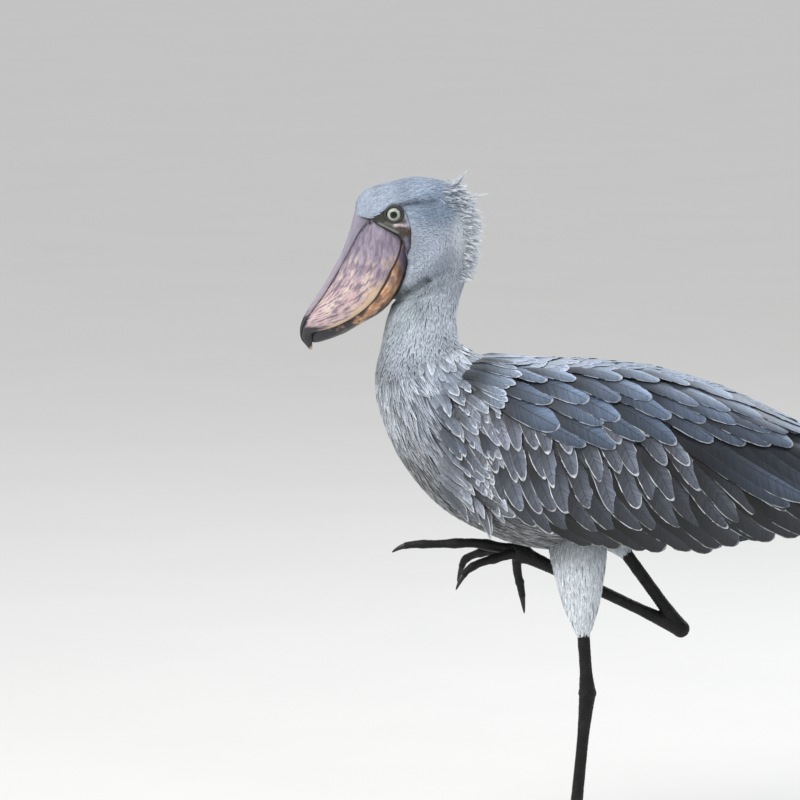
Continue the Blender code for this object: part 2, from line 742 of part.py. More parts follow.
def straight(start, end, count):
    return [start.lerp(end, t) for t in np.linspace(0, 1, count)]


def make_thigh(name, knee, heel, bare, neighbours):
    """Feathered shin from inside the flank down to where the bare skin starts."""
    ahead = (heel - knee).normalized()
    end = heel - ahead * bare
    top = knee + Vector((0, 0, 0.015))
    path = straight(top, end, 10)
    radii = np.interp(np.linspace(0, 1, 10), *THIGH_PROFILE)
    thigh = tube(name, path, radii, flat=0.72, look=PALE_SLATE, sides=16)
    cut_clear(thigh, *neighbours)
    return thigh, end - ahead * 0.005


def make_shank(name, start, heel, foot_joint, end_share, thigh):
    """Bare shin, heel and the long tarsus, one bent limb with knobs at its joints."""
    tarsus_end = heel.lerp(foot_joint, end_share)
    shin_radii = np.interp(np.linspace(0, 1, 6), (0, 0.7, 1), (SHIN_RADIUS, SHIN_RADIUS, HEEL_RADIUS * 0.93))
    shin = tube("shin", straight(start, heel, 6), shin_radii, flat=0.85)
    shares, swell = (0, 0.15, 0.3, 0.85, 1), (HEEL_RADIUS * 0.93, TARSUS_RADIUS * 1.2, TARSUS_RADIUS)
    tarsus_radii = np.interp(np.linspace(0, 1, 8), shares, (*swell, TARSUS_RADIUS * 1.1, ANKLE_RADIUS))
    shank = tube(name, straight(heel, tarsus_end, 8), tarsus_radii, flat=0.85, look=LEG_SKIN)
    knob = ellipsoid("knob", heel, (HEEL_RADIUS, HEEL_RADIUS * 0.85, HEEL_RADIUS), 0, 12, 8)
    combine(shank, [shin, knob], "UNION")
    cut_clear(shank, thigh)
    return shank, tarsus_end


def toe_radii(root, tip, joints, count):
    """Radius along a toe: a taper with a swelling at each joint and at the tip pad."""
    share = np.linspace(0, 1, count)
    radii = root + (tip - root) * share
    for k in range(joints):
        centre = (k + 1) / (joints + 0.6)
        radii = radii * (1 + 0.2 * np.exp(-(((share - centre) / 0.06) ** 2)))
    return radii


def even_steps(path, count):
    """Points at even steps along a smooth curve through the path."""
    fine = spline(path, np.linspace(0, len(path) - 1, 200))
    run = np.concatenate([[0], np.cumsum(np.linalg.norm(np.diff(fine, axis=0), axis=1))])
    at = np.linspace(0, run[-1], count)
    return np.stack([np.interp(at, run, fine[:, k]) for k in range(3)], axis=1)


def toe_with_claw(foot_name, toe, path, down):
    """One toe along its path, and its claw as a node of its own beyond the toe's flat end."""
    length, root, tip, joints = TOES[toe]
    points = even_steps(path, TOE_RINGS)
    piece = tube(f"{foot_name}_{toe}", points, toe_radii(root, tip, joints, TOE_RINGS), sides=8)
    end, ahead = Vector(points[-1]), Vector(points[-1] - points[-2]).normalized()
    claw_path = []
    claw_radii = []
    for t in np.linspace(0, 1, 4):
        claw_path.append(end + ahead * (2 * GAP + CLAW_LENGTH * t) + Vector(down) * CLAW_LENGTH * 0.35 * t**2)
        claw_radii.append(tip * 0.8 * (1 - t) ** 0.7 + 0.0005)
    claw = tube(foot_name.replace("foot", "claw") + "_" + toe, claw_path, claw_radii, look=CLAW_HORN, sides=6)
    return piece, claw


def make_left_foot(tarsus_end, shank):
    """The foot that carries the bird: toes spread on the floor, flat beneath."""
    joint = FOOT_JOINT_LEFT
    toes = []
    claws = []
    for toe, heading in LEFT_TOE_HEADINGS.items():
        length, root, tip, _ = TOES[toe]
        turn = math.radians(heading)
        out = Vector((-math.cos(turn), math.sin(turn), 0))
        start = Vector((joint.x, joint.y, root - SOLE_FLAT)) + out * 0.004
        middle = start + out * length * 0.5
        middle.z = (root + tip) / 2 - SOLE_FLAT
        end = start + out * length
        end.z = tip - SOLE_FLAT
        piece, claw = toe_with_claw("foot_left", toe, [start, middle, end], (0, 0, -0.3))
        toes.append(piece)
        claws.append(claw)
    pad_path = straight(tarsus_end, Vector((joint.x, joint.y, -0.003)), 5)
    pad = tube("foot_left", pad_path, (ANKLE_RADIUS, 0.012, 0.0145, 0.0165, 0.014), look=LEG_SKIN)
    combine(pad, toes, "UNION")
    cut_below(pad, 0.0)
    cut_clear(pad, shank)
    for claw in claws:
        cut_below(claw, 0.0)
    return pad


def make_right_foot(tarsus_end, shank):
    """The raised foot: middle toe reaching forward, the others drooping."""
    joint = FOOT_JOINT_RIGHT
    toes = []
    for toe, path in RIGHT_TOE_PATHS.items():
        piece, _ = toe_with_claw("foot_right", toe, path, (0, 0, -1.0))
        toes.append(piece)
    pad_path = straight(tarsus_end, joint + (joint - tarsus_end).normalized() * 0.012, 5)
    pad = tube("foot_right", pad_path, (ANKLE_RADIUS, 0.0125, 0.014, 0.0135, 0.009), look=LEG_SKIN)
    combine(pad, toes, "UNION")
    cut_clear(pad, shank)
    return pad


def make_legs(torso, wings):
    for wing, (side, knee, heel, joint) in zip(wings, (
        ("left", KNEE_LEFT, HEEL_LEFT, FOOT_JOINT_LEFT),
        ("right", KNEE_RIGHT, HEEL_RIGHT, FOOT_JOINT_RIGHT),
    )):
        thigh, start = make_thigh(f"thigh_{side}", knee, heel, FEATHER_END[side], (torso, wing))
        shank, tarsus_end = make_shank(f"shank_{side}", start, heel, joint, 0.93, thigh)
        make_foot = make_left_foot if side == "left" else make_right_foot
        make_foot(tarsus_end, shank)


def make_wings(torso, tail, chance):
    wings = []
    for name, side in (("wing_left", -1), ("wing_right", 1)):
        wing = wing_core(name, side)
        combine(wing, wing_vanes(side, chance), "UNION")
        cut_clear(wing, torso, tail)
        wings.append(wing)
    return wings


def main():
    torso, neck, head = make_body()
    upper, lower = make_bill()
    eyes = make_eyes(head)
    cut_clear(head, upper, lower, *eyes)
    chance = np.random.RandomState(SEED)
    wings = make_wings(torso, make_tail(chance), chance)
    make_legs(torso, wings)


clear_scene()
BIRD = bpy.data.collections.new("shoebill")
bpy.context.scene.collection.children.link(BIRD)
main()
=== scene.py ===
"""The shoebill, dressed: one skin under tiers of feathers, a mottled horn bill, eyes, legs and claws.

Metres, +Z up. The bird faces -X and its left side is -Y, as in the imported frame.
"""

import math

import bpy
import numpy as np
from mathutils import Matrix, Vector


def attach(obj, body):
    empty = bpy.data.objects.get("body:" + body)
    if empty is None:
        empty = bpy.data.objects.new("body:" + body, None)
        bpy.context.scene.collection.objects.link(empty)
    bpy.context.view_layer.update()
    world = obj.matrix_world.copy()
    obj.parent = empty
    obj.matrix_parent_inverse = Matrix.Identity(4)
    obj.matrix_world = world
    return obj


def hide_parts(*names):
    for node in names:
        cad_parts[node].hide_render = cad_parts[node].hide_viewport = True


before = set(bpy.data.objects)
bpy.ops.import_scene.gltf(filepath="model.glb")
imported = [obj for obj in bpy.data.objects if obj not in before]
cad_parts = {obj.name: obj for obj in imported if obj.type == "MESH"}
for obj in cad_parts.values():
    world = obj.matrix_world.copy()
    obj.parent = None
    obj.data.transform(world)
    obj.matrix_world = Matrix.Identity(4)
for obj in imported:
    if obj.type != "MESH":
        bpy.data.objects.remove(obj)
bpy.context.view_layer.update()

bl_info = {
    "name": "Wading Bird Dresser",
    "version": (1, 0, 0),
    "blender": (4, 5, 0),
    "location": "3D View > Sidebar > Bird",
    "description": "Builds the skin, feathers, bill, eyes and legs of a large wading bird over its solids",
    "category": "Object",
}


def srgb(red, green, blue):
    """Scene-linear colour of a colour given in the usual 0 to 255 steps."""
    steps = np.array((red, green, blue)) / 255
    return tuple(np.where(steps < 0.04045, steps / 12.92, ((steps + 0.055) / 1.055) ** 2.4))


# Rings of the body from the tail root to the nape: top x, top z, bottom x, bottom z, half width.
BODY = (
    (0.400, 0.578, 0.400, 0.537, 0.030),
    (0.312, 0.613, 0.312, 0.510, 0.060),
    (0.221, 0.651, 0.228, 0.490, 0.083),
    (0.123, 0.686, 0.130, 0.472, 0.098),
    (0.025, 0.709, 0.028, 0.459, 0.107),
    (-0.059, 0.718, -0.062, 0.465, 0.107),
    (-0.110, 0.726, -0.126, 0.487, 0.101),
    (-0.133, 0.733, -0.185, 0.522, 0.092),
    (-0.146, 0.740, -0.235, 0.580, 0.082),
    (-0.153, 0.745, -0.264, 0.640, 0.070),
    (-0.157, 0.748, -0.276, 0.697, 0.059),
    (-0.160, 0.760, -0.267, 0.746, 0.051),
    (-0.162, 0.784, -0.259, 0.784, 0.048),
    (-0.158, 0.809, -0.252, 0.805, 0.047),
)
BOXY = 0.88  # under 1, a ring is boxier than an ellipse
BODY_LOW, HEAD_LOW = 0.08, 0.16  # how much wider a ring is below its middle than above it

# The head's rings fan about the throat: top x, top z, half width, from the nape to the forehead.
THROAT = (-0.2506, 0.804)
THROAT_RADIUS = 0.006
HEAD = (
    (-0.147, 0.848, 0.049),
    (-0.137, 0.896, 0.053),
    (-0.143, 0.942, 0.056),
    (-0.168, 0.972, 0.057),
    (-0.213, 0.983, 0.056),
    (-0.255, 0.976, 0.053),
    (-0.288, 0.965, 0.049),
    (-0.302, 0.948, 0.046),
    (-0.305, 0.931, 0.043),
)
NAPE_STATION, FOREHEAD_STATION = len(BODY) - 1, len(BODY) + len(HEAD) - 1


def unit(rows):
    return rows / np.maximum(np.linalg.norm(rows, axis=-1, keepdims=True), 1e-12)


def bowed(values, power):
    return np.sign(values) * np.abs(values) ** power


def smooth(low, high, values):
    """Smooth step: 0 up to low, 1 from high."""
    t = np.clip((values - low) / (high - low), 0, 1)
    return t * t * (3 - 2 * t)


def spline(rows, at):
    """Catmull-Rom curve through the rows, which lie at the whole numbers of `at`, straight on past the ends."""
    rows = np.asarray(rows, float)
    at = np.asarray(at, float)
    low = np.clip(np.floor(at).astype(int), 0, len(rows) - 2)
    t = (at - low)[..., None]
    padded = np.vstack([2 * rows[0] - rows[1], rows, 2 * rows[-1] - rows[-2]])
    a, b, c, d = (padded[low + k] for k in range(4))
    inside = np.clip(t, 0, 1)
    bend = 2 * a - 5 * b + 4 * c - d + inside * (3 * (b - c) + d - a)
    curve = b + 0.5 * inside * (c - a + inside * bend)
    return curve + np.where(t < 0, t * (c - a) / 2, 0) + np.where(t > 1, (t - 1) * (d - b) / 2, 0)


def trunk_rows():
    rows = [(*row, BODY_LOW) for row in BODY]
    throat = np.array(THROAT)
    for x, z, half in HEAD:
        low = throat + THROAT_RADIUS * unit(np.array((x, z)) - throat)
        rows.append((x, z, *low, half, HEAD_LOW))
    return rows


TRUNK = trunk_rows()


def trunk(station, angle):
    """Body, neck and head: a boxy ring at each station between its top and bottom point, wider low down.

    angle runs from the top to the bird's right, so the left side has negative angles.
    """
    tx, tz, bx, bz, half, low = np.moveaxis(spline(TRUNK, station), -1, 0)
    rise, width = bowed(np.cos(angle), BOXY), bowed(np.sin(angle), BOXY)
    x = (tx + bx) / 2 + rise * (tx - bx) / 2
    z = (tz + bz) / 2 + rise * (tz - bz) / 2
    return np.stack(np.broadcast_arrays(x, half * width * (1 - low * rise), z), axis=-1)


# The folded wing's drape over the back and flank: x, top z, bottom z, half width of its ring.
DRAPE = (
    (-0.152, 0.735, 0.480, 0.105),
    (-0.060, 0.723, 0.420, 0.117),
    (0.040, 0.718, 0.406, 0.120),
    (0.125, 0.706, 0.406, 0.114),
    (0.220, 0.676, 0.401, 0.100),
    (0.320, 0.627, 0.431, 0.079),
    (0.417, 0.584, 0.464, 0.056),
    (0.515, 0.551, 0.498, 0.034),
)


def draped(side):
    """The wing's outer surface on one side, -1 for left: boxy rings square to X, by x and degrees from the top."""

    def surface(x, degrees):
        rows = np.array(DRAPE)
        at = np.interp(x, rows[:, 0], np.arange(len(rows)))
        _, top, bottom, half = np.moveaxis(spline(rows, at), -1, 0)
        turn = np.radians(degrees)
        y = side * half * bowed(np.sin(turn), BOXY)
        z = (top + bottom) / 2 + (top - bottom) / 2 * bowed(np.cos(turn), BOXY)
        return np.stack(np.broadcast_arrays(x, y, z), axis=-1)

    return surface


def on(surface, facing, u, v):
    """Points of a surface and its outward normals, the cross product of its two central differences."""
    step = 1e-3
    along = surface(u + step, v) - surface(u - step, v)
    around = surface(u, v + step) - surface(u, v - step)
    return surface(u, v), facing * unit(np.cross(around, along))


def speeds(surface, u, v):
    """How far the surface moves for a unit of u and of v."""
    step = 1e-3
    along = np.linalg.norm(surface(u + step, v) - surface(u - step, v), axis=-1)
    around = np.linalg.norm(surface(u, v + step) - surface(u, v - step), axis=-1)
    return np.maximum(along, 1e-9) / (2 * step), np.maximum(around, 1e-9) / (2 * step)


def mottle(points, size, seed=0, layers=3):
    """Soft noise about 0, within about 1: a sum of sine waves in random directions, halving in size."""
    chance = np.random.RandomState(1000 + seed)
    total = 0.0
    for layer in range(layers):
        waves = chance.normal(0, 1, (5, 3)) * 2 * math.pi / size * 2**layer * 0.6
        phase = chance.uniform(0, 2 * math.pi, 5)
        total = total + np.sin(points @ waves.T + phase).sum(axis=-1) / 2.5 / 2**layer
    return total / 1.6


# Meshes


def fill_mesh(name, points, faces, sizes):
    """A mesh from points, the faces' corners in one run, and how many corners each face has."""
    mesh = bpy.data.meshes.new(name)
    mesh.vertices.add(len(points))
    mesh.vertices.foreach_set("co", np.asarray(points, np.float32).ravel())
    mesh.loops.add(len(faces))
    mesh.loops.foreach_set("vertex_index", np.asarray(faces, np.int32))
    mesh.polygons.add(len(sizes))
    starts = np.concatenate([[0], np.cumsum(sizes)[:-1]])
    mesh.polygons.foreach_set("loop_start", starts.astype(np.int32))
    mesh.update(calc_edges=True)
    mesh.validate()
    return mesh


def add_piece(name, mesh, material, slot, *replaced):
    """Links the mesh as a piece that rides on the bird and stands for the named solids."""
    piece = bpy.data.objects.new(name, mesh)
    bpy.context.scene.collection.objects.link(piece)
    mesh.materials.clear()
    mesh.materials.append(material)
    mesh.shade_smooth()
    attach(piece, "root")
    if replaced:
        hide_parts(*replaced)
    return piece


def put_colour(mesh, name, values):
    layer = mesh.attributes.new(name, "FLOAT_COLOR", "POINT")
    layer.data.foreach_set("color", np.asarray(values, np.float32).ravel())


def put_vector(mesh, name, values):
    layer = mesh.attributes.new(name, "FLOAT_VECTOR", "POINT")
    layer.data.foreach_set("vector", np.asarray(values, np.float32).ravel())


def put_uv(mesh, name, values):
    corners = np.empty(len(mesh.loops), np.int32)
    mesh.loops.foreach_get("vertex_index", corners)
    layer = mesh.uv_layers.new(name=name)
    layer.data.foreach_set("uv", np.asarray(values, np.float32)[corners].ravel())


def points_of(mesh):
    points = np.empty(len(mesh.vertices) * 3, np.float32)
    mesh.vertices.foreach_get("co", points)
    return points.reshape(-1, 3).astype(float)


def sheet_mesh(name, grid):
    """A closed skin over a grid of rings: each ring is a row, and each end closes with a fan to its middle."""
    rows, sides = grid.shape[:2]
    middles = grid[[0, -1]].mean(axis=1)
    points = np.concatenate([grid.reshape(-1, 3), middles])
    i, j = np.meshgrid(np.arange(rows - 1), np.arange(sides), indexing="ij")
    k = (j + 1) % sides
    quads = np.stack([i * sides + j, i * sides + k, (i + 1) * sides + k, (i + 1) * sides + j], axis=-1)
    side = np.arange(sides)
    after = (side + 1) % sides
    first = np.stack([after, side, np.full(sides, rows * sides)], axis=-1)
    last_row = (rows - 1) * sides
    last = np.stack([last_row + side, last_row + after, np.full(sides, rows * sides + 1)], axis=-1)
    faces = np.concatenate([quads.ravel(), first.ravel(), last.ravel()])
    sizes = np.concatenate([np.full(quads.size // 4, 4), np.full(2 * sides, 3)])
    mesh = fill_mesh(name, points, faces, sizes)
    a, b, c = (points[quads.reshape(-1, 4)[:, m]] for m in range(3))
    if np.einsum("ij,ij->i", a, np.cross(b, c)).sum() < 0:
        mesh.flip_normals()
    return mesh


# Materials


class Look:
    """A Principled material whose nodes are added a call at a time; constants stay on the shader's sockets."""

    def __init__(self, name, **constants):
        self.material = bpy.data.materials.new(name)
        self.material.use_nodes = True
        self.tree = self.material.node_tree
        self.shader = self.tree.nodes["Principled BSDF"]
        for socket, value in constants.items():
            self.shader.inputs[socket.replace("_", " ")].default_value = value

    def add(self, kind, settings=None, **inputs):
        node = self.tree.nodes.new(kind)
        for key, value in (settings or {}).items():
            setattr(node, key, value)
        for key, value in inputs.items():
            self.feed(node.inputs[int(key[1:])] if key[0] == "i" and key[1:].isdigit() else node.inputs[key], value)
        return node

    def feed(self, socket, value):
        if isinstance(value, bpy.types.NodeSocket):
            self.tree.links.new(value, socket)
        else:
            socket.default_value = (*value, 1) if socket.type == "RGBA" and len(value) == 3 else value

    def attribute(self, name):
        return self.add("ShaderNodeAttribute", {"attribute_name": name})

    def place(self, scale=(1, 1, 1), turn=(0, 0, 0), source=None):
        """Object coordinates, or another source, turned and stretched."""
        source = source or self.add("ShaderNodeTexCoord").outputs["Object"]
        return self.add("ShaderNodeMapping", Vector=source, Scale=scale, Rotation=turn).outputs["Vector"]

    def noise(self, vector, scale, detail=3, roughness=0.55):
        node = self.add("ShaderNodeTexNoise", Vector=vector, Scale=scale, Detail=detail, Roughness=roughness)
        return node.outputs["Fac"]

    def cells(self, vector, scale, feature="DISTANCE_TO_EDGE"):
        return self.add("ShaderNodeTexVoronoi", {"feature": feature}, Vector=vector, Scale=scale).outputs["Distance"]

    def step(self, value, low, high, start=0.0, end=1.0):
        """The value's smooth step from low to high, as numbers from start to end."""
        settings = {"interpolation_type": "SMOOTHSTEP"}
        inputs = {"Value": value, "From Min": low, "From Max": high, "To Min": start, "To Max": end}
        return self.add("ShaderNodeMapRange", settings, **inputs).outputs["Result"]

    def math(self, operation, first, second=0.5):
        return self.add("ShaderNodeMath", {"operation": operation}, i0=first, i1=second).outputs["Value"]

    def grey(self, value):
        return self.add("ShaderNodeCombineXYZ", X=value, Y=value, Z=value).outputs["Vector"]

    def mix(self, share, first, second, blend="MIX"):
        node = self.add("ShaderNodeMix", {"data_type": "RGBA", "blend_type": blend}, i0=share, i6=first, i7=second)
        return node.outputs[2]

    def bump(self, height, strength, distance):
        node = self.add("ShaderNodeBump", Height=height, Strength=strength, Distance=distance)
        self.feed(self.shader.inputs["Normal"], node.outputs["Normal"])

    def colour(self, value):
        self.feed(self.shader.inputs["Base Color"], value)


# Feathers


def sample(surface, low, high, spacing, chance, kept=None):
    """Roots about `spacing` apart: of many places thrown on the surface, the one nearest the middle of each
    cell of a grid in space stays."""
    u, v = (np.linspace(a, b, 60) for a, b in zip(low, high))
    grid = surface(*np.meshgrid(u, v, indexing="ij"))
    edges = np.linalg.norm(np.cross(np.diff(grid, axis=0)[:, :-1], np.diff(grid, axis=1)[:-1]), axis=-1)
    weight = edges.ravel() / edges.sum()
    count = int(edges.sum() / spacing**2 * 14) + 20
    cell = chance.choice(len(weight), count, p=weight)
    u = low[0] + (high[0] - low[0]) * (cell // 59 + chance.random_sample(count)) / 59
    v = low[1] + (high[1] - low[1]) * (cell % 59 + chance.random_sample(count)) / 59
    points = surface(u, v)
    if kept is not None:
        kept = kept(points, u, v)
        u, v, points = u[kept], v[kept], points[kept]
    scaled = points / spacing
    key = np.floor(scaled)
    off = np.linalg.norm(scaled - key - 0.5, axis=1)
    order = np.argsort(off, kind="stable")
    code = (key[order].astype(np.int64) + 5000) @ np.array([1, 10007, 10007 * 10009], np.int64)
    _, first = np.unique(code, return_index=True)
    pick = order[np.sort(first)]
    return u[pick], v[pick]


def lay(surface, facing, u, v, ahead, turn, length, shares, heights):
    """Paths of feathers that follow the surface: K roots by n points, with their normals.

    ahead is the sign of u that the feathers point along, turn their angle off that way, and heights how far
    each point stands off the surface.
    """
    along, around = speeds(surface, u, v)
    run = length[:, None] * shares
    us = u[:, None] + ahead * (np.cos(turn) / along)[:, None] * run
    vs = v[:, None] + (np.sin(turn) / around)[:, None] * run
    points, normals = on(surface, facing, us, vs)
    return points + normals * heights[..., None], normals


SHAPES = {
    "tuft": ((0, 0.5, 1), (0.75, 0.9, 0.12)),
    "lance": ((0, 0.2, 0.5, 0.8, 1), (0.5, 0.9, 1.0, 0.6, 0.06)),
    "plume": ((0, 0.2, 0.5, 0.75, 0.9, 0.97, 1), (0.5, 0.85, 1.0, 0.78, 0.46, 0.22, 0.04)),
    "body": ((0, 0.25, 0.6, 0.85, 0.96, 1), (0.5, 0.85, 1.0, 0.82, 0.48, 0.16)),
    "covert": ((0, 0.2, 0.55, 0.8, 0.93, 1), (0.5, 0.8, 1.0, 0.84, 0.5, 0.1)),
    "broad": ((0, 0.2, 0.5, 0.82, 0.94, 1), (0.5, 0.82, 0.98, 0.9, 0.62, 0.14)),
    "flight": ((0, 0.2, 0.6, 0.88, 0.97, 1), (0.55, 0.85, 1.0, 0.9, 0.55, 0.12)),
    "pointed": ((0, 0.2, 0.5, 0.7, 0.85, 0.94, 0.98, 1), (0.5, 0.82, 1.0, 0.96, 0.76, 0.5, 0.28, 0.06)),
    "scapular": ((0, 0.2, 0.55, 0.76, 0.89, 0.96, 0.99, 1), (0.55, 0.85, 1.0, 0.95, 0.75, 0.5, 0.27, 0.06)),
}


def shape_at(shape, shares):
    at, widths = SHAPES[shape]
    return np.interp(shares, at, widths)


def feather_mesh(name, paths, normals, half, shape, shares, columns, tint, bake, chance, roll=0.0, camber=0.12,
                 frayed=0.0):
    """Closed vanes on K paths of n points: a cambered upper face with a column at each value in `columns`,
    from -1 to 1, and a flat underside that shares its edges.

    Each point is its path's point, plus the column times the half width across, plus a rise that falls from
    the shaft to the edges. tint is each feather's colour and how pale its rim is.
    """
    count, n = paths.shape[:2]
    columns = np.asarray(columns, float)
    m = len(columns)
    ahead = unit(np.gradient(paths, axis=1))
    across = unit(np.cross(normals, ahead))
    width = half[:, None] * (shape_at(shape, shares) if isinstance(shape, str) else shape)
    reach = np.broadcast_to(columns, (count, n, m)).copy()
    if frayed:
        edge = np.abs(columns) > 0.99
        cuts = chance.random_sample((count, n, edge.sum())) < 0.12
        fray = 1 - frayed * chance.random_sample((count, n, edge.sum())) - 0.22 * cuts
        fray[:, [0, -1]] = 1
        reach[:, :, edge] *= fray
    off = reach * width[..., None]
    rise = camber * (1 - columns**2) * width[..., None] + np.broadcast_to(roll, (count,))[:, None, None] * off
    points = paths[:, :, None] + across[:, :, None] * off[..., None] + normals[:, :, None] * rise[..., None]

    start = (np.arange(count) * n * m)[:, None]
    i, j = np.meshgrid(np.arange(n - 1), np.arange(m - 1), indexing="ij")
    a = (i * m + j).ravel()
    upper = np.stack([a, a + 1, a + m + 1, a + m], axis=-1)
    r = np.arange(n - 1) * m
    under = np.stack([r, r + m, r + 2 * m - 1, r + m - 1], axis=-1)
    quads = (start[:, :, None] + np.concatenate([upper, under])).reshape(-1, 4)
    root_cap = start + np.arange(m)[::-1]
    tip_cap = start + (n - 1) * m + np.arange(m)
    faces = np.concatenate([quads.ravel(), root_cap.ravel(), tip_cap.ravel()])
    sizes = np.concatenate([np.full(len(quads), 4), np.full(2 * count, m)])
    mesh = fill_mesh(name, points.reshape(-1, 3), faces, sizes)
    mesh.set_sharp_from_angle(angle=math.radians(70))

    run = np.linalg.norm(np.diff(paths, axis=1), axis=-1).sum(axis=1)
    left = (1 - shares) * run[:, None]
    inset = (1 - np.abs(columns)) * width[..., None]
    rim = np.minimum(inset, left[..., None] * 0.5) * 1000
    share = np.broadcast_to(shares[None, :, None], rim.shape)
    # side is +1 at the vane's upper edge: the look paints light on the upper edge and shade on the lower.
    side = columns * np.where(across[..., 2:] < 0, -1.0, 1.0)
    put_vector(mesh, "Vane", np.stack([rim, side, share], axis=-1).reshape(-1, 3))
    put_colour(mesh, "Tint", np.broadcast_to(tint[:, None, None], (count, n, m, 4)).reshape(-1, 4))
    drift = chance.uniform(0, 5, (count, 1, 1))
    barbs = np.stack([run[:, None, None] * share - 0.9 * np.abs(off) + drift, np.abs(off) + drift], axis=-1)
    put_uv(mesh, "Barbs", barbs.reshape(-1, 2))
    patch = np.stack([np.broadcast_to(columns / 2, rim.shape), share], axis=-1) * 0.003
    put_uv(mesh, "OFBake", (bake[:, None, None] + patch).reshape(-1, 2))
    return mesh


def feather_look(name, rim_colour, shaft_colour, roughness=0.62, streak=0.35, sheen=0.25, centre=0.1, root=0.3,
                 slope=0.0, reach=(0.8, 1.9)):
    """Vanes: the feather's own tint, streaked along its barbs (partly the barbs' texture, partly painted sheen), darker
    in the middle, with painted shade toward the root where the feather above overlaps it, and by `slope` painted shade
    at the lower edge and painted light at the upper edge, with a dark shaft and a worn pale rim that fades over
    `reach`, in millimetres."""
    look = Look(name, Roughness=roughness, Sheen_Weight=sheen, Sheen_Roughness=0.5, Specular_IOR_Level=0.35)
    tint = look.attribute("Tint")
    vane = look.add("ShaderNodeSeparateXYZ", Vector=look.attribute("Vane").outputs["Vector"])
    barbs = look.add("ShaderNodeUVMap", {"uv_map": "Barbs"}).outputs["UV"]
    fine = look.noise(look.place((900, 45, 1), source=barbs), 1.0, 2)
    broad = look.noise(look.place((330, 22, 1), source=barbs), 1.0, 2)
    worn = look.noise(look.place((60, 60, 1), source=barbs), 1.0, 2)
    both = look.math("ADD", look.math("MULTIPLY", fine, 0.45), look.math("MULTIPLY", broad, 0.55))
    # Streaks along the barbs: partly the barbs' texture, partly painted sheen highlights.
    shade = look.step(both, 0.3, 0.7, 1 - streak, 1 + streak)
    off = look.math("ABSOLUTE", vane.outputs["Y"])
    shade = look.math("MULTIPLY", shade, look.step(off, 0.0, 0.75, 1 - centre, 1 + centre))
    # Painted light and shade: lighter toward the vane's upper edge, darker toward its lower edge.
    shade = look.math("MULTIPLY", shade, look.step(vane.outputs["Y"], -1.0, 1.0, 1 - slope, 1 + slope))
    # Painted shade: darker toward the root, where the feather above overlaps it.
    shade = look.math("MULTIPLY", shade, look.step(vane.outputs["Z"], 0.3, 0.95, 1 - root, 1 + root / 3))
    colour = look.mix(1.0, tint.outputs["Color"], look.grey(shade), "MULTIPLY")
    shaft = look.step(off, 0.02, 0.1, 0.55, 0.0)
    colour = look.mix(shaft, colour, shaft_colour)
    rim = look.step(vane.outputs["X"], *reach, 1.0, 0.0)
    rim = look.math("MULTIPLY", rim, look.step(vane.outputs["Z"], 0.4, 0.7))
    rim = look.math("MULTIPLY", rim, look.step(worn, 0.34, 0.56, 0.15, 1.0))
    rim = look.math("MULTIPLY", rim, tint.outputs["Alpha"])
    look.colour(look.mix(rim, colour, rim_colour))
    look.bump(both, 0.35, 0.0008)
    return look.material


# Where the plumage has which colour: x, distance from the middle, z, and the colour there.
PLUMAGE = {
    "crown": ((-0.225, 0.02, 0.975), (160, 175, 198)),
    "forehead": ((-0.290, 0.02, 0.955), (174, 187, 206)),
    "cheek": ((-0.200, 0.050, 0.885), (168, 178, 194)),
    # Painted shade: the groove behind the eye, darker than the crown and cheek.
    "eye_groove_shade": ((-0.195, 0.052, 0.952), (128, 145, 168)),
    # nape: near white, partly the plumage's pale grey and partly painted rim light along the back of the neck.
    "nape": ((-0.145, 0.020, 0.900), (224, 231, 240)),
    "throat": ((-0.240, 0.030, 0.810), (156, 166, 175)),
    "neck_side": ((-0.200, 0.048, 0.770), (184, 194, 207)),
    # neck_back: near white, partly the plumage's pale grey and partly painted rim light along the back of the neck.
    "neck_back": ((-0.156, 0.010, 0.790), (210, 218, 230)),
    "neck_base": ((-0.185, 0.055, 0.715), (124, 134, 150)),
    "neck_front": ((-0.275, 0.010, 0.700), (140, 146, 155)),
    # breast and breast_low: dark partly as wet plumage and partly as painted shade on the underside.
    "breast": ((-0.250, 0.040, 0.600), (68, 71, 75)),
    "breast_low": ((-0.170, 0.050, 0.505), (38, 39, 41)),
    "bend": ((-0.150, 0.095, 0.620), (140, 146, 158)),
    "shoulder": ((-0.160, 0.090, 0.640), (82, 92, 108)),
    "mantle": ((-0.110, 0.030, 0.735), (150, 162, 182)),
    "wrist": ((-0.070, 0.110, 0.540), (90, 88, 91)),
    # belly: dark partly as wet plumage and partly as painted shade on the underside.
    "belly": ((-0.060, 0.030, 0.470), (64, 67, 70)),
    "belly_rear": ((0.060, 0.030, 0.465), (140, 148, 156)),
    "flank_rear": ((0.200, 0.050, 0.500), (90, 95, 104)),
    "vent": ((0.330, 0.030, 0.515), (140, 147, 154)),
    "back": ((0.050, 0.040, 0.705), (122, 137, 159)),
    "rump": ((0.250, 0.030, 0.640), (104, 118, 138)),
    "tail_root": ((0.400, 0.020, 0.575), (92, 104, 122)),
    "thigh": ((0.005, 0.045, 0.420), (216, 223, 230)),
}


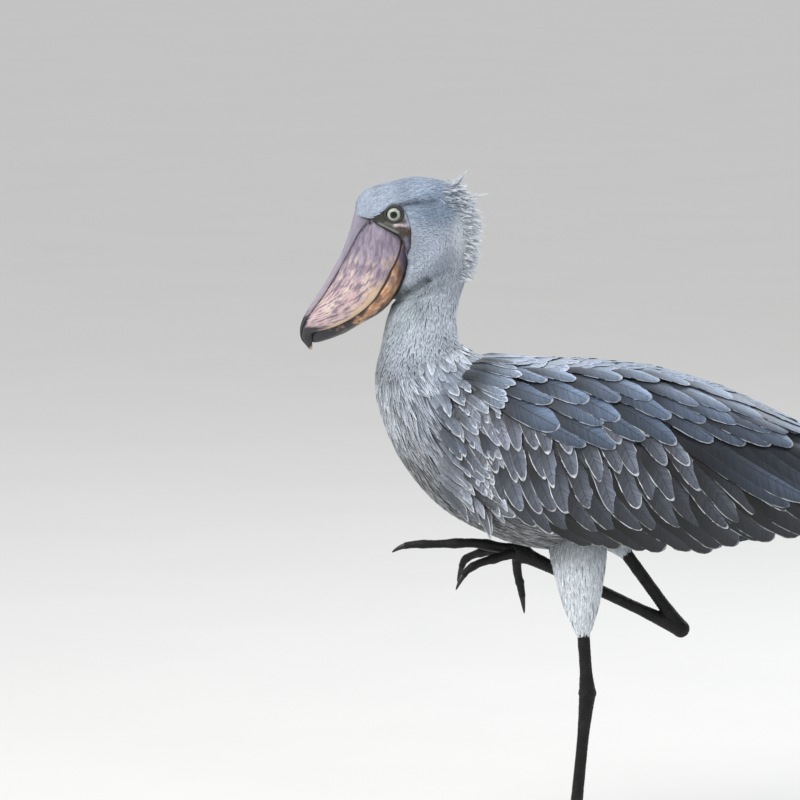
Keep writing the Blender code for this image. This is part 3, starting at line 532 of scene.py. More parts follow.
# Lines in the plumage: painted shade in the groove behind the eye and in the creases under the jaw and on the
# neck, a painted highlight on the brow ridge, and a darker strip of the gape's colour; as x, z of their ends, how
# far they reach and how much light they keep (over 1 is lighter).
SHADES = (
    # painted shade in the groove behind the eye
    ((-0.2420, 0.9470), (-0.2200, 0.9505), 0.0038, 0.50),
    ((-0.2200, 0.9505), (-0.1960, 0.9515), 0.0042, 0.78),
    # painted highlight on the brow ridge
    ((-0.2780, 0.9330), (-0.2580, 0.9470), 0.0028, 1.22),
    # painted shadow in the crease under the jaw
    ((-0.2580, 0.8090), (-0.2320, 0.8310), 0.0048, 0.25),
    ((-0.2320, 0.8310), (-0.2050, 0.8490), 0.0036, 0.42),
    ((-0.2050, 0.8490), (-0.1820, 0.8580), 0.0040, 0.80),
    # painted shade along a fold of the neck below the jaw
    ((-0.2080, 0.8340), (-0.1790, 0.8400), 0.0020, 0.75),
    # the gape's darker colour on the feathers below the bare face
    ((-0.2290, 0.9100), (-0.2270, 0.8700), 0.0045, 0.70),
)


def plumage_at(points):
    """Colour of the plumage: that of the places named above, each weighed by its distance to the power -4, darkened
    along the lines of painted shade and the gape's strip, and lightened along the brow's painted highlight."""
    places = np.array([place for place, _ in PLUMAGE.values()])
    colours = np.array([srgb(*colour) for _, colour in PLUMAGE.values()])
    folded = points * (1, 0, 1) + np.abs(points) * (0, 1, 0)
    weight = np.linalg.norm(folded[:, None] - places, axis=-1) ** -4.0
    light = 1.0
    for start, end, reach, kept in SHADES:
        near = np.exp(-((off_line(points, start, end) / reach) ** 2)) * smooth(0.012, 0.03, folded[:, 1])
        light = light * (1 - (1 - kept) * near)
    return weight @ colours / weight.sum(axis=1)[:, None] * light[:, None]


def tinted(points, chance, spread=0.12, rim=0.0):
    """A tint for the feather rooted at each point: the plumage there, a little lighter or darker, and its rim."""
    colour = plumage_at(points) * (1 + 0.10 * mottle(points, 0.02) + chance.normal(0, spread, len(points)))[:, None]
    return np.column_stack([np.clip(colour, 0.01, 1), np.broadcast_to(rim, len(points))])


# The bill's base on the side of the head, as x, z, round the part of the head that the horn takes.
FACE = (
    (-0.3045, 0.9325),
    (-0.2790, 0.9265),
    (-0.2580, 0.9145),
    (-0.2362, 0.9001),
    (-0.2265, 0.8655),
    (-0.2300, 0.8470),
    (-0.2366, 0.8325),
    (-0.2486, 0.8140),
    (-0.2900, 0.7700),
    (-0.3700, 0.8500),
    (-0.3400, 0.9450),
)
EYE = (-0.2485, 0.0375, 0.9335)
EYE_RADIUS = 0.0123
# The bare face from the lores to the gape: its lower and upper edges in x, z.
FACE_LOW = (
    (-0.2795, 0.9235),
    (-0.2700, 0.9180),
    (-0.2610, 0.9130),
    (-0.2520, 0.9080),
    (-0.2450, 0.9040),
    (-0.2400, 0.8990),
    (-0.2350, 0.8900),
    (-0.2310, 0.8780),
)
FACE_HIGH = (
    (-0.2810, 0.9285),
    (-0.2690, 0.9370),
    (-0.2580, 0.9440),
    (-0.2470, 0.9472),
    (-0.2365, 0.9435),
    (-0.2310, 0.9330),
    (-0.2258, 0.9140),
    (-0.2262, 0.8880),
)


def off_line(points, start, end):
    """Distance in x, z from the line between start and end."""
    flat = points[..., [0, 2]] - start
    line = np.subtract(end, start)
    share = np.clip(flat @ line / (line @ line), 0, 1)
    return np.linalg.norm(flat - share[..., None] * line, axis=-1)


def within(points, corners):
    """How deep each point lies within the outline with these corners, in x, z; below 0 outside it."""
    corners = np.array(corners)
    ends = np.roll(corners, -1, axis=0)
    depth = np.full(points.shape[:-1], np.inf)
    for start, end in zip(corners, ends):
        depth = np.minimum(depth, off_line(points, start, end))
    x, z = points[..., 0, None], points[..., 2, None]
    crossing = (corners[:, 1] > z) != (ends[:, 1] > z)
    slope = (ends[:, 0] - corners[:, 0]) / (ends[:, 1] - corners[:, 1])
    hits = crossing & (x < corners[:, 0] + (z - corners[:, 1]) * slope)
    return np.where(hits.sum(axis=-1) % 2 == 1, depth, -depth)


def bareness(points):
    """1 on the bare skin about the eye and gape, 0 among the feathers."""
    face = smooth(-0.0010, 0.0012, within(points, FACE_LOW + FACE_HIGH[::-1]))
    z = points[..., 2]
    return np.maximum(face, smooth(-0.0045, -0.0025, within(points, FACE)) * smooth(0.882, 0.888, z) * (z < 0.928))


def coat_depth(station):
    """How thick the coat is along the trunk."""
    return np.interp(station, (0, 8, 11, 14, 15, 19), (0.0050, 0.0050, 0.0038, 0.0028, 0.0020, 0.0012))


# Folds of the head's skin: lines in x, z, how far they reach and how far they stand out to the side.
FOLDS = (
    ((-0.2800, 0.9355), (-0.2560, 0.9505), 0.0055, 0.0050),
    ((-0.2560, 0.9505), (-0.2220, 0.9585), 0.0058, 0.0050),
    ((-0.2220, 0.9585), (-0.1900, 0.9580), 0.0070, 0.0020),
    ((-0.2320, 0.9440), (-0.1920, 0.9500), 0.0044, -0.0044),
    ((-0.2480, 0.9335), (-0.2470, 0.9335), 0.0130, -0.0014),
    ((-0.1680, 0.8600), (-0.2020, 0.8430), 0.0052, -0.0040),
    ((-0.2020, 0.8430), (-0.2420, 0.8150), 0.0050, -0.0090),
    ((-0.1850, 0.8780), (-0.2230, 0.8520), 0.0150, 0.0060),
    ((-0.1750, 0.8260), (-0.2120, 0.8180), 0.0036, -0.0022),
    ((-0.2080, 0.9300), (-0.2000, 0.9000), 0.0160, 0.0030),
)


def bird(station, angle):
    """The trunk with the folds of the face: each moves the side of the head out or in, less with distance."""
    points = trunk(station, angle)
    shift = 0.0
    for start, end, reach, out in FOLDS:
        shift = shift + out * np.exp(-((off_line(points, start, end) / reach) ** 2))
    side = np.tanh(points[..., 1] / 0.02)
    return points + np.stack([0 * shift, side * shift, 0 * shift], axis=-1)


def limb(path, radii, flat=1.0):
    """A tube along a curve through the path, as wide as a curve through the radii, `flat` times as wide across."""
    path = np.asarray(path, float)
    widths = np.asarray(radii, float)[:, None]

    def surface(t, angle):
        t, angle = np.broadcast_arrays(t, angle)
        at = t * (len(path) - 1)
        ahead = unit(spline(path, at + 1e-2) - spline(path, at - 1e-2))
        side = unit(np.cross(np.cross(ahead, (0.0, 1.0, 0.0)), ahead))
        up = np.cross(ahead, side)
        radius = spline(widths, t * (len(widths) - 1))
        around = np.cos(angle)[..., None] * up + flat * np.sin(angle)[..., None] * side
        return spline(path, at) + radius * around

    return surface


def grid_of(surface, first, last, rows, sides, turns=2 * math.pi):
    """The surface at rows by sides places, once round."""
    u = np.linspace(first, last, rows)[:, None]
    v = np.arange(sides)[None] * turns / sides - turns / 2
    return surface(*np.broadcast_arrays(u, v))


LEGS = {
    "left": {"knee": (0.003, -0.046, 0.525), "heel": (0.022, -0.016, 0.257), "foot": (0.0, 0.0, 0.018), "bare": 0.095},
    "right": {
        "knee": (-0.005, 0.052, 0.560),
        "heel": (0.155, 0.056, 0.338),
        "foot": (-0.073, 0.040, 0.449),
        "bare": 0.140,
    },
}
THIGH_PROFILE = ((0, 0.21, 0.5, 0.65, 0.8, 0.93, 1), (0.045, 0.042, 0.038, 0.032, 0.026, 0.0185, 0.0125))
THIGH_FLAT = 0.72


def thigh(side, inset=0.0):
    """The feathered shin, a tapered tube from inside the flank to where the bare skin starts."""
    leg = LEGS[side]
    knee, heel = np.array(leg["knee"]), np.array(leg["heel"])
    ahead = unit(heel - knee)
    shares = np.linspace(0, 1, 10)
    path = knee + (0, 0, 0.015) + shares[:, None] * (heel - ahead * leg["bare"] - knee - (0, 0, 0.015))
    return limb(path, np.interp(shares, *THIGH_PROFILE) - inset, THIGH_FLAT)


WING_EDGES = (
    (68, 80, 0.006),
    (16, 106, 0.020),
    (6, 117, 0.022),
    (4, 118, 0.018),
    (4, 113, 0.012),
    (8, 104, 0.008),
    (28, 90, 0.006),
    (48, 76, 0.004),
)


def wing_core(side):
    """A lens of rings that follows the drape outside, from one edge angle to the other, and is thick in its middle."""
    at = np.linspace(0, 6.2, 70)
    xs = spline([[row[0]] for row in DRAPE], at)
    start, end, depth = (column[:, None] for column in np.moveaxis(spline(WING_EDGES, at), -1, 0))
    share = np.linspace(0, 1, 40)
    degrees = start + (end - start) * share
    body = depth * (1 - (2 * share - 1) ** 4) ** 0.5 + 0.0008
    points, normals = on(draped(side), -side, *np.broadcast_arrays(xs, degrees))
    outer, inner = points - 0.0012 * normals, points - (body + 0.0012)[..., None] * normals
    return np.concatenate([outer, inner[:, ::-1]], axis=1)


def joined(name, grids):
    """One closed mesh from closed grids that overlap."""
    pieces = []
    for k, grid in enumerate(grids):
        piece = bpy.data.objects.new(f"{name}_{k}", sheet_mesh(f"{name}_{k}", grid))
        bpy.context.scene.collection.objects.link(piece)
        pieces.append(piece)
    for other in pieces[1:]:
        union = pieces[0].modifiers.new("union", "BOOLEAN")
        union.operation, union.solver, union.object = "UNION", "MANIFOLD", other
    graph = bpy.context.evaluated_depsgraph_get()
    mesh = bpy.data.meshes.new_from_object(pieces[0].evaluated_get(graph))
    mesh.name = name
    for piece in pieces:
        spare = piece.data
        bpy.data.objects.remove(piece)
        bpy.data.meshes.remove(spare)
    return mesh


def skin_look(bare):
    """Skin: the plumage's own tints in shade between the feathers, wrinkled and dark where it is bare."""
    look = Look("skin", Roughness=0.75, Specular_IOR_Level=0.25)
    tint = look.attribute("Tint")
    down = look.noise(look.place((1, 1, 1)), 420, 4)
    wrinkle = look.cells(look.place((1, 1, 1)), 620)
    feathered = look.mix(1.0, tint.outputs["Color"], look.grey(look.step(down, 0.3, 0.7, 0.75, 1.2)), "MULTIPLY")
    patch = look.noise(look.place((1, 1, 1), (0, 0.5, 0)), 150, 3)
    skin = look.mix(look.step(patch, 0.38, 0.66), bare.lores_colour, bare.eyelid_colour)
    look.colour(look.mix(tint.outputs["Alpha"], feathered, skin))
    height = look.math("ADD", look.math("MULTIPLY", down, 0.7), look.step(wrinkle, 0.0, 0.25))
    look.bump(height, 0.5, 0.0006)
    return look.material


class BIRD_OT_skin(bpy.types.Operator):
    """One skin for the trunk, the thighs and the wings' cores, inside the solids by the depth of the coat"""

    bl_idname = "bird.skin"
    bl_label = "Skin"

    def execute(self, context):
        station = np.linspace(0, FOREHEAD_STATION, 330)[:, None]
        angle = np.linspace(-math.pi, math.pi, 180, endpoint=False)[None]
        station, angle = np.broadcast_arrays(station, angle)
        points, normals = on(bird, 1, station, angle)
        points = points - normals * (coat_depth(station) + 0.0025 * bareness(points))[..., None]
        points[..., 1] *= 1 - 0.6 * smooth(-0.002, 0.007, within(points, FACE))
        grids = [points, wing_core(-1), wing_core(1)]
        grids += [grid_of(thigh(side, 0.0045), 0, 1, 60, 48) for side in LEGS]
        mesh = joined("skin", grids)
        at = points_of(mesh)
        bare = bareness(at)
        # Painted shade: the skin between the feathers takes the plumage's colour, darkened to half on the body and to
        # 0.8 on the neck and head.
        shade = 0.5 + 0.3 * smooth(0.72, 0.80, at[:, 2])
        put_colour(mesh, "Tint", np.column_stack([plumage_at(at) * shade[:, None], bare]))
        add_piece("skin", mesh, skin_look(context.scene.bird_bare), "pale_plumage", "torso", "neck", "head",
                  "thigh_left", "thigh_right")
        return {"FINISHED"}


def coat(name, surface, facing, low, high, spacing, length, half, shape, look, chance, slot="dark_plumage",
         rows=4, columns=(-1, 0, 1), ahead=-1, depth=0.004, lift=0.0005, turn=0.10, rim=0.0, kept=None,
         spread=0.10, camber=0.3, frayed=0.0, tint=None, sway=0.0, tilt=0.12, lean=0.0, vary=0.2, replaced=()):
    """A coat of feathers whose roots lie about `spacing` apart on the surface, sunk by `depth`, tips lifted."""
    u, v = sample(surface, low, high, spacing, chance, kept)
    roots, count = surface(u, v), len(u)
    long = length * chance.uniform(1 - vary, 1 + vary, count)
    shares = 1 - (1 - np.linspace(0, 1, rows)) ** 1.25
    sunk = (depth(u) if callable(depth) else np.full(count, depth))[:, None]
    rise = (lift + chance.uniform(0, 0.0006, count))[:, None]
    heights = -sunk + (sunk + rise) * shares**0.8
    turns = lean + chance.normal(0, turn, count) + sway * mottle(roots, 0.06, 7, 2)
    paths, normals = lay(surface, facing, u, v, ahead, turns, long, shares, heights)
    tints = tinted(roots, chance, spread, rim) if tint is None else tint(roots, chance)
    bake = 0.002 + 0.99 * np.stack([(u - low[0]) / (high[0] - low[0]), (v - low[1]) / (high[1] - low[1])], axis=-1)
    widths = half * chance.uniform(0.85, 1.15, count)
    roll = chance.normal(0, tilt, count)
    mesh = feather_mesh(name, paths, normals, widths, shape, shares, columns, tints, bake, chance, roll, camber,
                        frayed)
    print(name, count, "feathers", len(mesh.loops) - 2 * len(mesh.polygons), "triangles")
    return add_piece(name, mesh, look, slot, *replaced)


class BIRD_OT_plumage(bpy.types.Operator):
    """The small feathers of the head, neck, breast, belly, mantle and rump, each coat a piece"""

    bl_idname = "bird.plumage"
    bl_label = "Body feathers"

    def execute(self, context):
        plumage = context.scene.bird_plumage
        chance = np.random.RandomState(plumage.seed)
        half_turn = math.pi
        # Each look's last number is how much painted shade darkens the feathers toward their roots.
        soft = feather_look("soft_feathers", plumage.rim_colour, plumage.shaft_colour, 0.8, 0.22, 0.4, 0.0, 0.18)
        firm = feather_look("firm_feathers", plumage.rim_colour, plumage.shaft_colour, 0.6, 0.3, 0.2, 0.1, 0.35)
        loose = feather_look("loose_feathers", plumage.rim_colour, plumage.shaft_colour, 0.75, 0.35, 0.3, 0.4, 0.6)

        def off_face(points, u, v):
            clear = (within(points, FACE) < 0.0005) & (bareness(points) < 0.3)
            return clear & (speeds(bird, u, v)[0] > 0.002)

        coat("head_feathers", bird, 1, (13.3, -half_turn), (21.98, half_turn), 0.00225, 0.0080, 0.00088, "tuft", soft,
             chance, "pale_plumage", rows=3, depth=lambda u: coat_depth(u) + 0.0004, lift=0.0, turn=0.20,
             kept=off_face, spread=0.045, camber=0.12, tilt=0.05, sway=0.2)
        coat("neck_feathers", bird, 1, (9.3, -half_turn), (14.2, half_turn), 0.0030, 0.0165, 0.0015, "lance", soft,
             chance, "pale_plumage", depth=lambda u: coat_depth(u) + 0.0006, lift=0.0002, turn=0.14, spread=0.06,
             camber=0.16, tilt=0.07, sway=0.3)
        coat("breast_feathers", bird, 1, (5.4, 1.15), (10.6, 2 * half_turn - 1.15), 0.0068, 0.056, 0.0040, "lance",
             loose, chance, "pale_plumage", rows=7, columns=(-1, -0.6, 0, 0.6, 1), depth=0.0055, lift=0.0012,
             rim=0.32, turn=0.09, spread=0.28, frayed=0.45, sway=0.28)
        coat("belly_feathers", bird, 1, (0.1, 1.2), (6.2, 2 * half_turn - 1.2), 0.0068, 0.040, 0.0040, "lance",
             loose, chance, "pale_plumage", rows=6, depth=0.0055, turn=0.14, spread=0.12, frayed=0.4, sway=0.3)
        coat("mantle_feathers", bird, 1, (5.6, -1.45), (10.6, 1.45), 0.0086, 0.036, 0.0062, "pointed", firm, chance,
             rows=8, columns=(-1, -0.7, 0, 0.7, 1), depth=0.0055, lift=0.0014, rim=0.3, turn=0.12, frayed=0.2)
        coat("rump_feathers", bird, 1, (0.1, -1.35), (6.0, 1.35), 0.0125, 0.056, 0.0110, "pointed", firm, chance,
             rows=8, columns=(-1, -0.7, 0, 0.7, 1), depth=0.0055, lift=0.0014, rim=0.4, turn=0.10, frayed=0.2)
        for name, side in (("left", -1), ("right", 1)):
            coat(f"shoulder_feathers_{name}", draped(side), -side, (-0.190, 36), (-0.128, 110), 0.0175, 0.052, 0.0086,
                 "plume", firm, chance, rows=12, columns=(-1, -0.7, 0, 0.7, 1), ahead=1, depth=0.013, lift=0.0070,
                 turn=0.18, rim=0.75, frayed=0.12, sway=0.25, lean=0.85, spread=0.22, vary=0.32)
            coat(f"back_feathers_{name}", draped(side), -side, (-0.135, 0.5), (0.30, 16), 0.0150, 0.056, 0.0110,
                 "scapular", firm, chance, rows=12, columns=(-1, -0.7, 0, 0.7, 1), ahead=1, depth=0.002, lift=0.0070,
                 turn=0.12, rim=0.3, frayed=0.06, camber=0.16)
        for side in LEGS:
            coat(f"thigh_feathers_{side}", thigh(side), -1, (0.12, -half_turn), (0.985, half_turn), 0.0042, 0.030,
                 0.0021, "lance", soft, chance, "pale_plumage", rows=5, ahead=1, depth=0.005, lift=0.0014,
                 turn=0.14, tint=thigh_tint, sway=0.3)
        return {"FINISHED"}


def thigh_tint(points, chance):
    """The thighs' own pale grey, fading into the belly's colour above."""
    below = smooth(0.50, 0.44, points[:, 2])[:, None]
    pale = np.array(srgb(*PLUMAGE["thigh"][1]))
    colour = below * pale + (1 - below) * plumage_at(points)
    colour = colour * (1 + chance.normal(0, 0.10, len(points)))[:, None]
    return np.column_stack([np.clip(colour, 0.01, 1), np.zeros(len(points))])


# Tiers of the folded wing, lowest first: how many feathers, the curve of their roots and that of their tips as x and
# degrees from the top, half width, how proud the tips stand, their form and colour, how pale their rims are, and how
# deep their roots lie.
TIERS = {
    "primaries": (8, ((0.190, 94), (0.225, 85), (0.274, 75)), ((0.430, 107), (0.475, 105), (0.515, 96)),
                  0.0120, 0.0012, "flight", (40, 45, 54), 0.25, 0.0026),
    "secondaries": (15, ((-0.067, 101), (0.037, 97), (0.162, 84), (0.232, 73)),
                    ((0.023, 118), (0.148, 119), (0.274, 111), (0.387, 106)),
                    0.0165, 0.0018, "flight", (44, 47, 53), 0.45, 0.0026),
    "greater_coverts": (13, ((-0.106, 93), (-0.019, 86), (0.092, 76), (0.176, 62)),
                        ((-0.046, 113), (0.058, 111), (0.183, 105), (0.290, 94)),
                        0.0150, 0.0030, "pointed", (62, 66, 75), 0.85, 0.0026),
    "median_coverts": (11, ((-0.125, 83), (-0.050, 78), (0.037, 73), (0.120, 66)),
                       ((-0.092, 105), (-0.019, 102), (0.074, 99), (0.180, 90)),
                       0.0140, 0.0042, "pointed", (82, 87, 99), 1.0, 0.0026),
    "lesser_coverts_low": (11, ((-0.132, 70), (-0.061, 67), (0.019, 63), (0.102, 58)),
                           ((-0.100, 92), (-0.034, 90), (0.056, 87), (0.147, 77)),
                           0.0128, 0.0050, "pointed", (90, 96, 109), 1.0, 0.0026),
    "lesser_coverts_top": (11, ((-0.142, 56), (-0.075, 53), (-0.006, 50), (0.076, 46)),
                           ((-0.110, 80), (-0.050, 77), (0.032, 74), (0.116, 66)),
                           0.0115, 0.0056, "pointed", (94, 99, 112), 0.9, 0.0026),
    "tertials": (7, ((0.106, 60), (0.162, 51), (0.232, 42), (0.285, 30)),
                 ((0.295, 90), (0.358, 84), (0.430, 78), (0.468, 60)),
                 0.0185, 0.0040, "scapular", (62, 72, 88), 0.6, 0.0026),
    "scapulars_low": (8, ((-0.116, 54), (-0.019, 43), (0.093, 40), (0.163, 34)),
                      ((0.010, 73), (0.106, 68), (0.218, 57), (0.310, 44)),
                      0.0185, 0.0062, "scapular", (72, 85, 104), 0.55, 0.0026),
    "scapulars_mid": (8, ((-0.122, 45), (-0.020, 35), (0.090, 32), (0.170, 28)),
                      ((-0.012, 62), (0.090, 57), (0.210, 45), (0.312, 31)),
                      0.0190, 0.0072, "scapular", (88, 103, 126), 0.55, 0.0026),
    "scapulars_top": (8, ((-0.125, 36), (-0.018, 24), (0.094, 22), (0.178, 19)),
                      ((-0.025, 50), (0.080, 46), (0.205, 35), (0.318, 22)),
                      0.0180, 0.0080, "scapular", (98, 114, 138), 0.45, 0.0026),
    "scapulars_back": (8, ((-0.120, 22), (-0.018, 13), (0.094, 11), (0.178, 10)),
                       ((-0.030, 34), (0.076, 28), (0.200, 20), (0.312, 12)),
                       0.0160, 0.0084, "scapular", (114, 130, 154), 0.4, 0.0026),
    "shoulder_low": (9, ((-0.150, 108), (-0.160, 92), (-0.164, 74), (-0.160, 56)),
                     ((-0.086, 112), (-0.092, 104), (-0.104, 92), (-0.106, 72)),
                     0.0105, 0.0040, "pointed", (102, 107, 116), 0.8, 0.0100),
    "shoulder_high": (8, ((-0.166, 98), (-0.174, 80), (-0.174, 60), (-0.160, 42)),
                      ((-0.112, 106), (-0.122, 92), (-0.124, 74), (-0.112, 54)),
                      0.0095, 0.0052, "pointed", (118, 126, 140), 0.8, 0.0110),
    "shoulder_top": (9, ((-0.150, 46), (-0.156, 36), (-0.150, 24), (-0.140, 12)),
                     ((-0.092, 58), (-0.084, 46), (-0.078, 33), (-0.076, 20)),
                     0.0115, 0.0090, "pointed", (124, 138, 159), 0.7, 0.0060),
}
VANE_COLUMNS = (-1, -0.9, -0.6, -0.3, 0, 0.3, 0.6, 0.9, 1)
VANE_ROWS = 22
WING_BOX = ((-0.16, 0.52), (0, 125))


class BIRD_OT_wings(bpy.types.Operator):
    """Both folded wings, tier over tier from the primaries up to the scapulars, each wing a piece"""

    bl_idname = "bird.wings"
    bl_label = "Wings"

    def execute(self, context):
        plumage = context.scene.bird_plumage
        # Wing feathers: strong painted shade toward the roots (0.78), painted shade at the lower edge and painted light
        # at the upper edge (0.52).
        look = feather_look("wing_feathers", plumage.rim_colour, plumage.shaft_colour, 0.46, 0.38, 0.15, 0.08, 0.78,
                            0.52, (0.9, 2.1))
        shares = 1 - (1 - np.linspace(0, 1, VANE_ROWS)) ** 1.35
        for name, side in (("left", -1), ("right", 1)):
            chance = np.random.RandomState(plumage.seed + 5 + side)
            parts = [wing_tier(tier, side, shares, chance) for tier in TIERS.values()]
            paths, normals, halves, tints, bake, rolls, widths = (np.concatenate(part) for part in zip(*parts))
            mesh = feather_mesh(f"wing_feathers_{name}", paths, normals, halves, widths, shares, VANE_COLUMNS, tints,
                                bake, chance, rolls, 0.18, 0.05)
            print(name, len(paths), len(mesh.loops) - 2 * len(mesh.polygons))
            add_piece(f"wing_feathers_{name}", mesh, look, "dark_plumage", f"wing_{name}")
        return {"FINISHED"}


def wing_tier(tier, side, shares, chance):
    """Paths, normals, half widths, tints, places in the bake and rolls of one tier's feathers on the drape."""
    count, roots, tips, half, proud, shape, colour, rim, sunk = tier
    place = np.linspace(0, 1, count) + chance.uniform(-0.3, 0.3, count) / count
    start = spline(roots, place * (len(roots) - 1)) + chance.uniform(-1, 1, (count, 2)) * (0.003, 1.0)
    end = spline(tips, place * (len(tips) - 1)) + chance.uniform(-1, 1, (count, 2)) * (0.008, 1.8)
    x = start[:, :1] + (end - start)[:, :1] * shares
    bend = chance.uniform(1.1, 1.45, (count, 1))
    degrees = start[:, 1:] + (end - start)[:, 1:] * shares**bend
    rise = np.interp(shares, (0, 0.35, 0.78, 1), (-sunk, 0.45 * proud, 0.8 * proud, proud))
    points, normals = on(draped(side), -side, x, degrees)
    paths = points + normals * (rise + chance.uniform(0, 0.0012, (count, 1)) * shares)[..., None]
    pale = np.exp(-(((x[:, -1] + 0.105) / 0.030) ** 2 + ((points[:, -1, 2] - 0.615) / 0.030) ** 2))
    tone = (1 + 0.9 * pale + chance.normal(0, 0.16, count))[:, None]
    tint = np.column_stack([np.array(srgb(*colour)) * tone, rim * chance.uniform(0.5, 1.0, count)])
    (x0, x1), (a0, a1) = WING_BOX
    bake = np.column_stack([(start[:, 0] - x0) / (x1 - x0), (start[:, 1] - a0) / (a1 - a0)]) * 0.99
    halves = half * chance.uniform(0.88, 1.12, count)
    widths = np.broadcast_to(shape_at(shape, shares), (count, len(shares)))
    return paths, normals, halves, tint, bake, side * chance.uniform(0.09, 0.20, count), widths


TAIL_ROOT, TAIL_TIP = (0.4003, 0.5575), (0.529, 0.516)
TAIL_HALF = (0.026, 0.050)


def tail_sheet(t, y):
    """The spread tail's upper side: a line from root to tip that falls away to both sides."""
    t, y = np.broadcast_arrays(t, y)
    x = TAIL_ROOT[0] + (TAIL_TIP[0] - TAIL_ROOT[0]) * t
    z = TAIL_ROOT[1] + (TAIL_TIP[1] - TAIL_ROOT[1]) * t - 2 * y**2
    return np.stack([x, y, z], axis=-1)


def tail_feathers(count, first, last, half, rise, spread, colour, rim, chance):
    """Paths and the rest for a fan of feathers from t first to last, the middle ones uppermost."""
    place = np.linspace(-1, 1, count)
    inner = 1 - np.abs(place)
    shares = 1 - (1 - np.linspace(0, 1, 16)) ** 1.35
    end = last - 0.05 * (1 - inner) - chance.uniform(0, 0.02, count)
    t = first + (end - first)[:, None] * shares
    width = TAIL_HALF[0] * 0.75 + (TAIL_HALF[1] * 0.86 - TAIL_HALF[0] * 0.75) * np.clip(t, 0, 1)
    points, normals = on(tail_sheet, -1, t, spread * place[:, None] * width)
    normals = normals * np.sign(normals[..., 2:])
    lifts = np.interp(shares, (0, 0.3, 1), (-0.002, 0.4 * rise, rise)) + 0.004 * inner[:, None] * np.sign(rise)
    tint = np.column_stack([np.array(srgb(*colour)) * (1 + chance.normal(0, 0.08, count))[:, None],
                            np.full(count, rim)])
    bake = 0.1 + 0.8 * np.column_stack([(place + 1) / 2, np.full(count, first)])
    halves = half * chance.uniform(0.93, 1.07, count)
    return points + normals * lifts[..., None], normals, halves, tint, bake, -0.07 * np.sign(place), shares


class BIRD_OT_tail(bpy.types.Operator):
    """The tail: twelve feathers fanned flat, with coverts over and under their roots"""

    bl_idname = "bird.tail"
    bl_label = "Tail"

    def execute(self, context):
        plumage = context.scene.bird_plumage
        chance = np.random.RandomState(plumage.seed + 20)
        look = feather_look("tail_feathers", plumage.rim_colour, plumage.shaft_colour, 0.5, 0.28, 0.15)
        fans = (
            (12, 0.02, 1.0, 0.0120, 0.0008, 1.0, (58, 65, 77), 0.35, "flight"),
            (11, -0.25, 0.62, 0.0120, 0.0042, 0.9, (80, 92, 110), 0.45, "broad"),
            (10, -0.30, 0.40, 0.0110, 0.0062, 0.8, (88, 101, 120), 0.45, "body"),
            (10, -0.30, 0.60, 0.0105, -0.0060, 0.85, (150, 157, 165), 0.2, "body"),
            (9, -0.35, 0.35, 0.0100, -0.0100, 0.8, (160, 167, 175), 0.2, "body"),
        )
        parts = []
        for *fan, shape in fans:
            *made, shares = tail_feathers(*fan, chance)
            parts.append((*made, np.broadcast_to(shape_at(shape, shares), made[0].shape[:2])))
        paths, normals, halves, tint, bake, roll, widths = (np.concatenate(part) for part in zip(*parts))
        mesh = feather_mesh("tail_feathers", paths, normals, halves, widths, shares, VANE_COLUMNS, tint, bake, chance,
                            roll, 0.10, 0.06)
        add_piece("tail_feathers", mesh, look, "dark_plumage", "tail")
        return {"FINISHED"}


# Crest locks: root x, y, z and tip x, y, z.
CREST = (
    ((-0.164, 0.000, 0.966), (-0.144, 0.001, 0.9985)),
    ((-0.170, 0.010, 0.966), (-0.154, 0.014, 0.9875)),
    ((-0.178, -0.008, 0.968), (-0.165, -0.012, 0.9810)),
    ((-0.154, -0.010, 0.950), (-0.129, -0.014, 0.9640)),
    ((-0.152, 0.004, 0.952), (-0.115, 0.007, 0.9590)),
    ((-0.153, 0.016, 0.940), (-0.130, 0.022, 0.9440)),
    ((-0.150, -0.004, 0.938), (-0.121, -0.007, 0.9330)),
    ((-0.150, 0.008, 0.926), (-0.124, 0.012, 0.9180)),
    ((-0.152, -0.018, 0.930), (-0.127, -0.024, 0.9230)),
    ((-0.148, 0.000, 0.916), (-0.119, 0.002, 0.9120)),
    ((-0.151, 0.018, 0.908), (-0.132, 0.023, 0.8960)),
    ((-0.148, -0.008, 0.902), (-0.130, -0.011, 0.8880)),
    ((-0.146, 0.006, 0.892), (-0.133, 0.008, 0.8780)),
    ((-0.156, -0.022, 0.946), (-0.137, -0.030, 0.9480)),
)


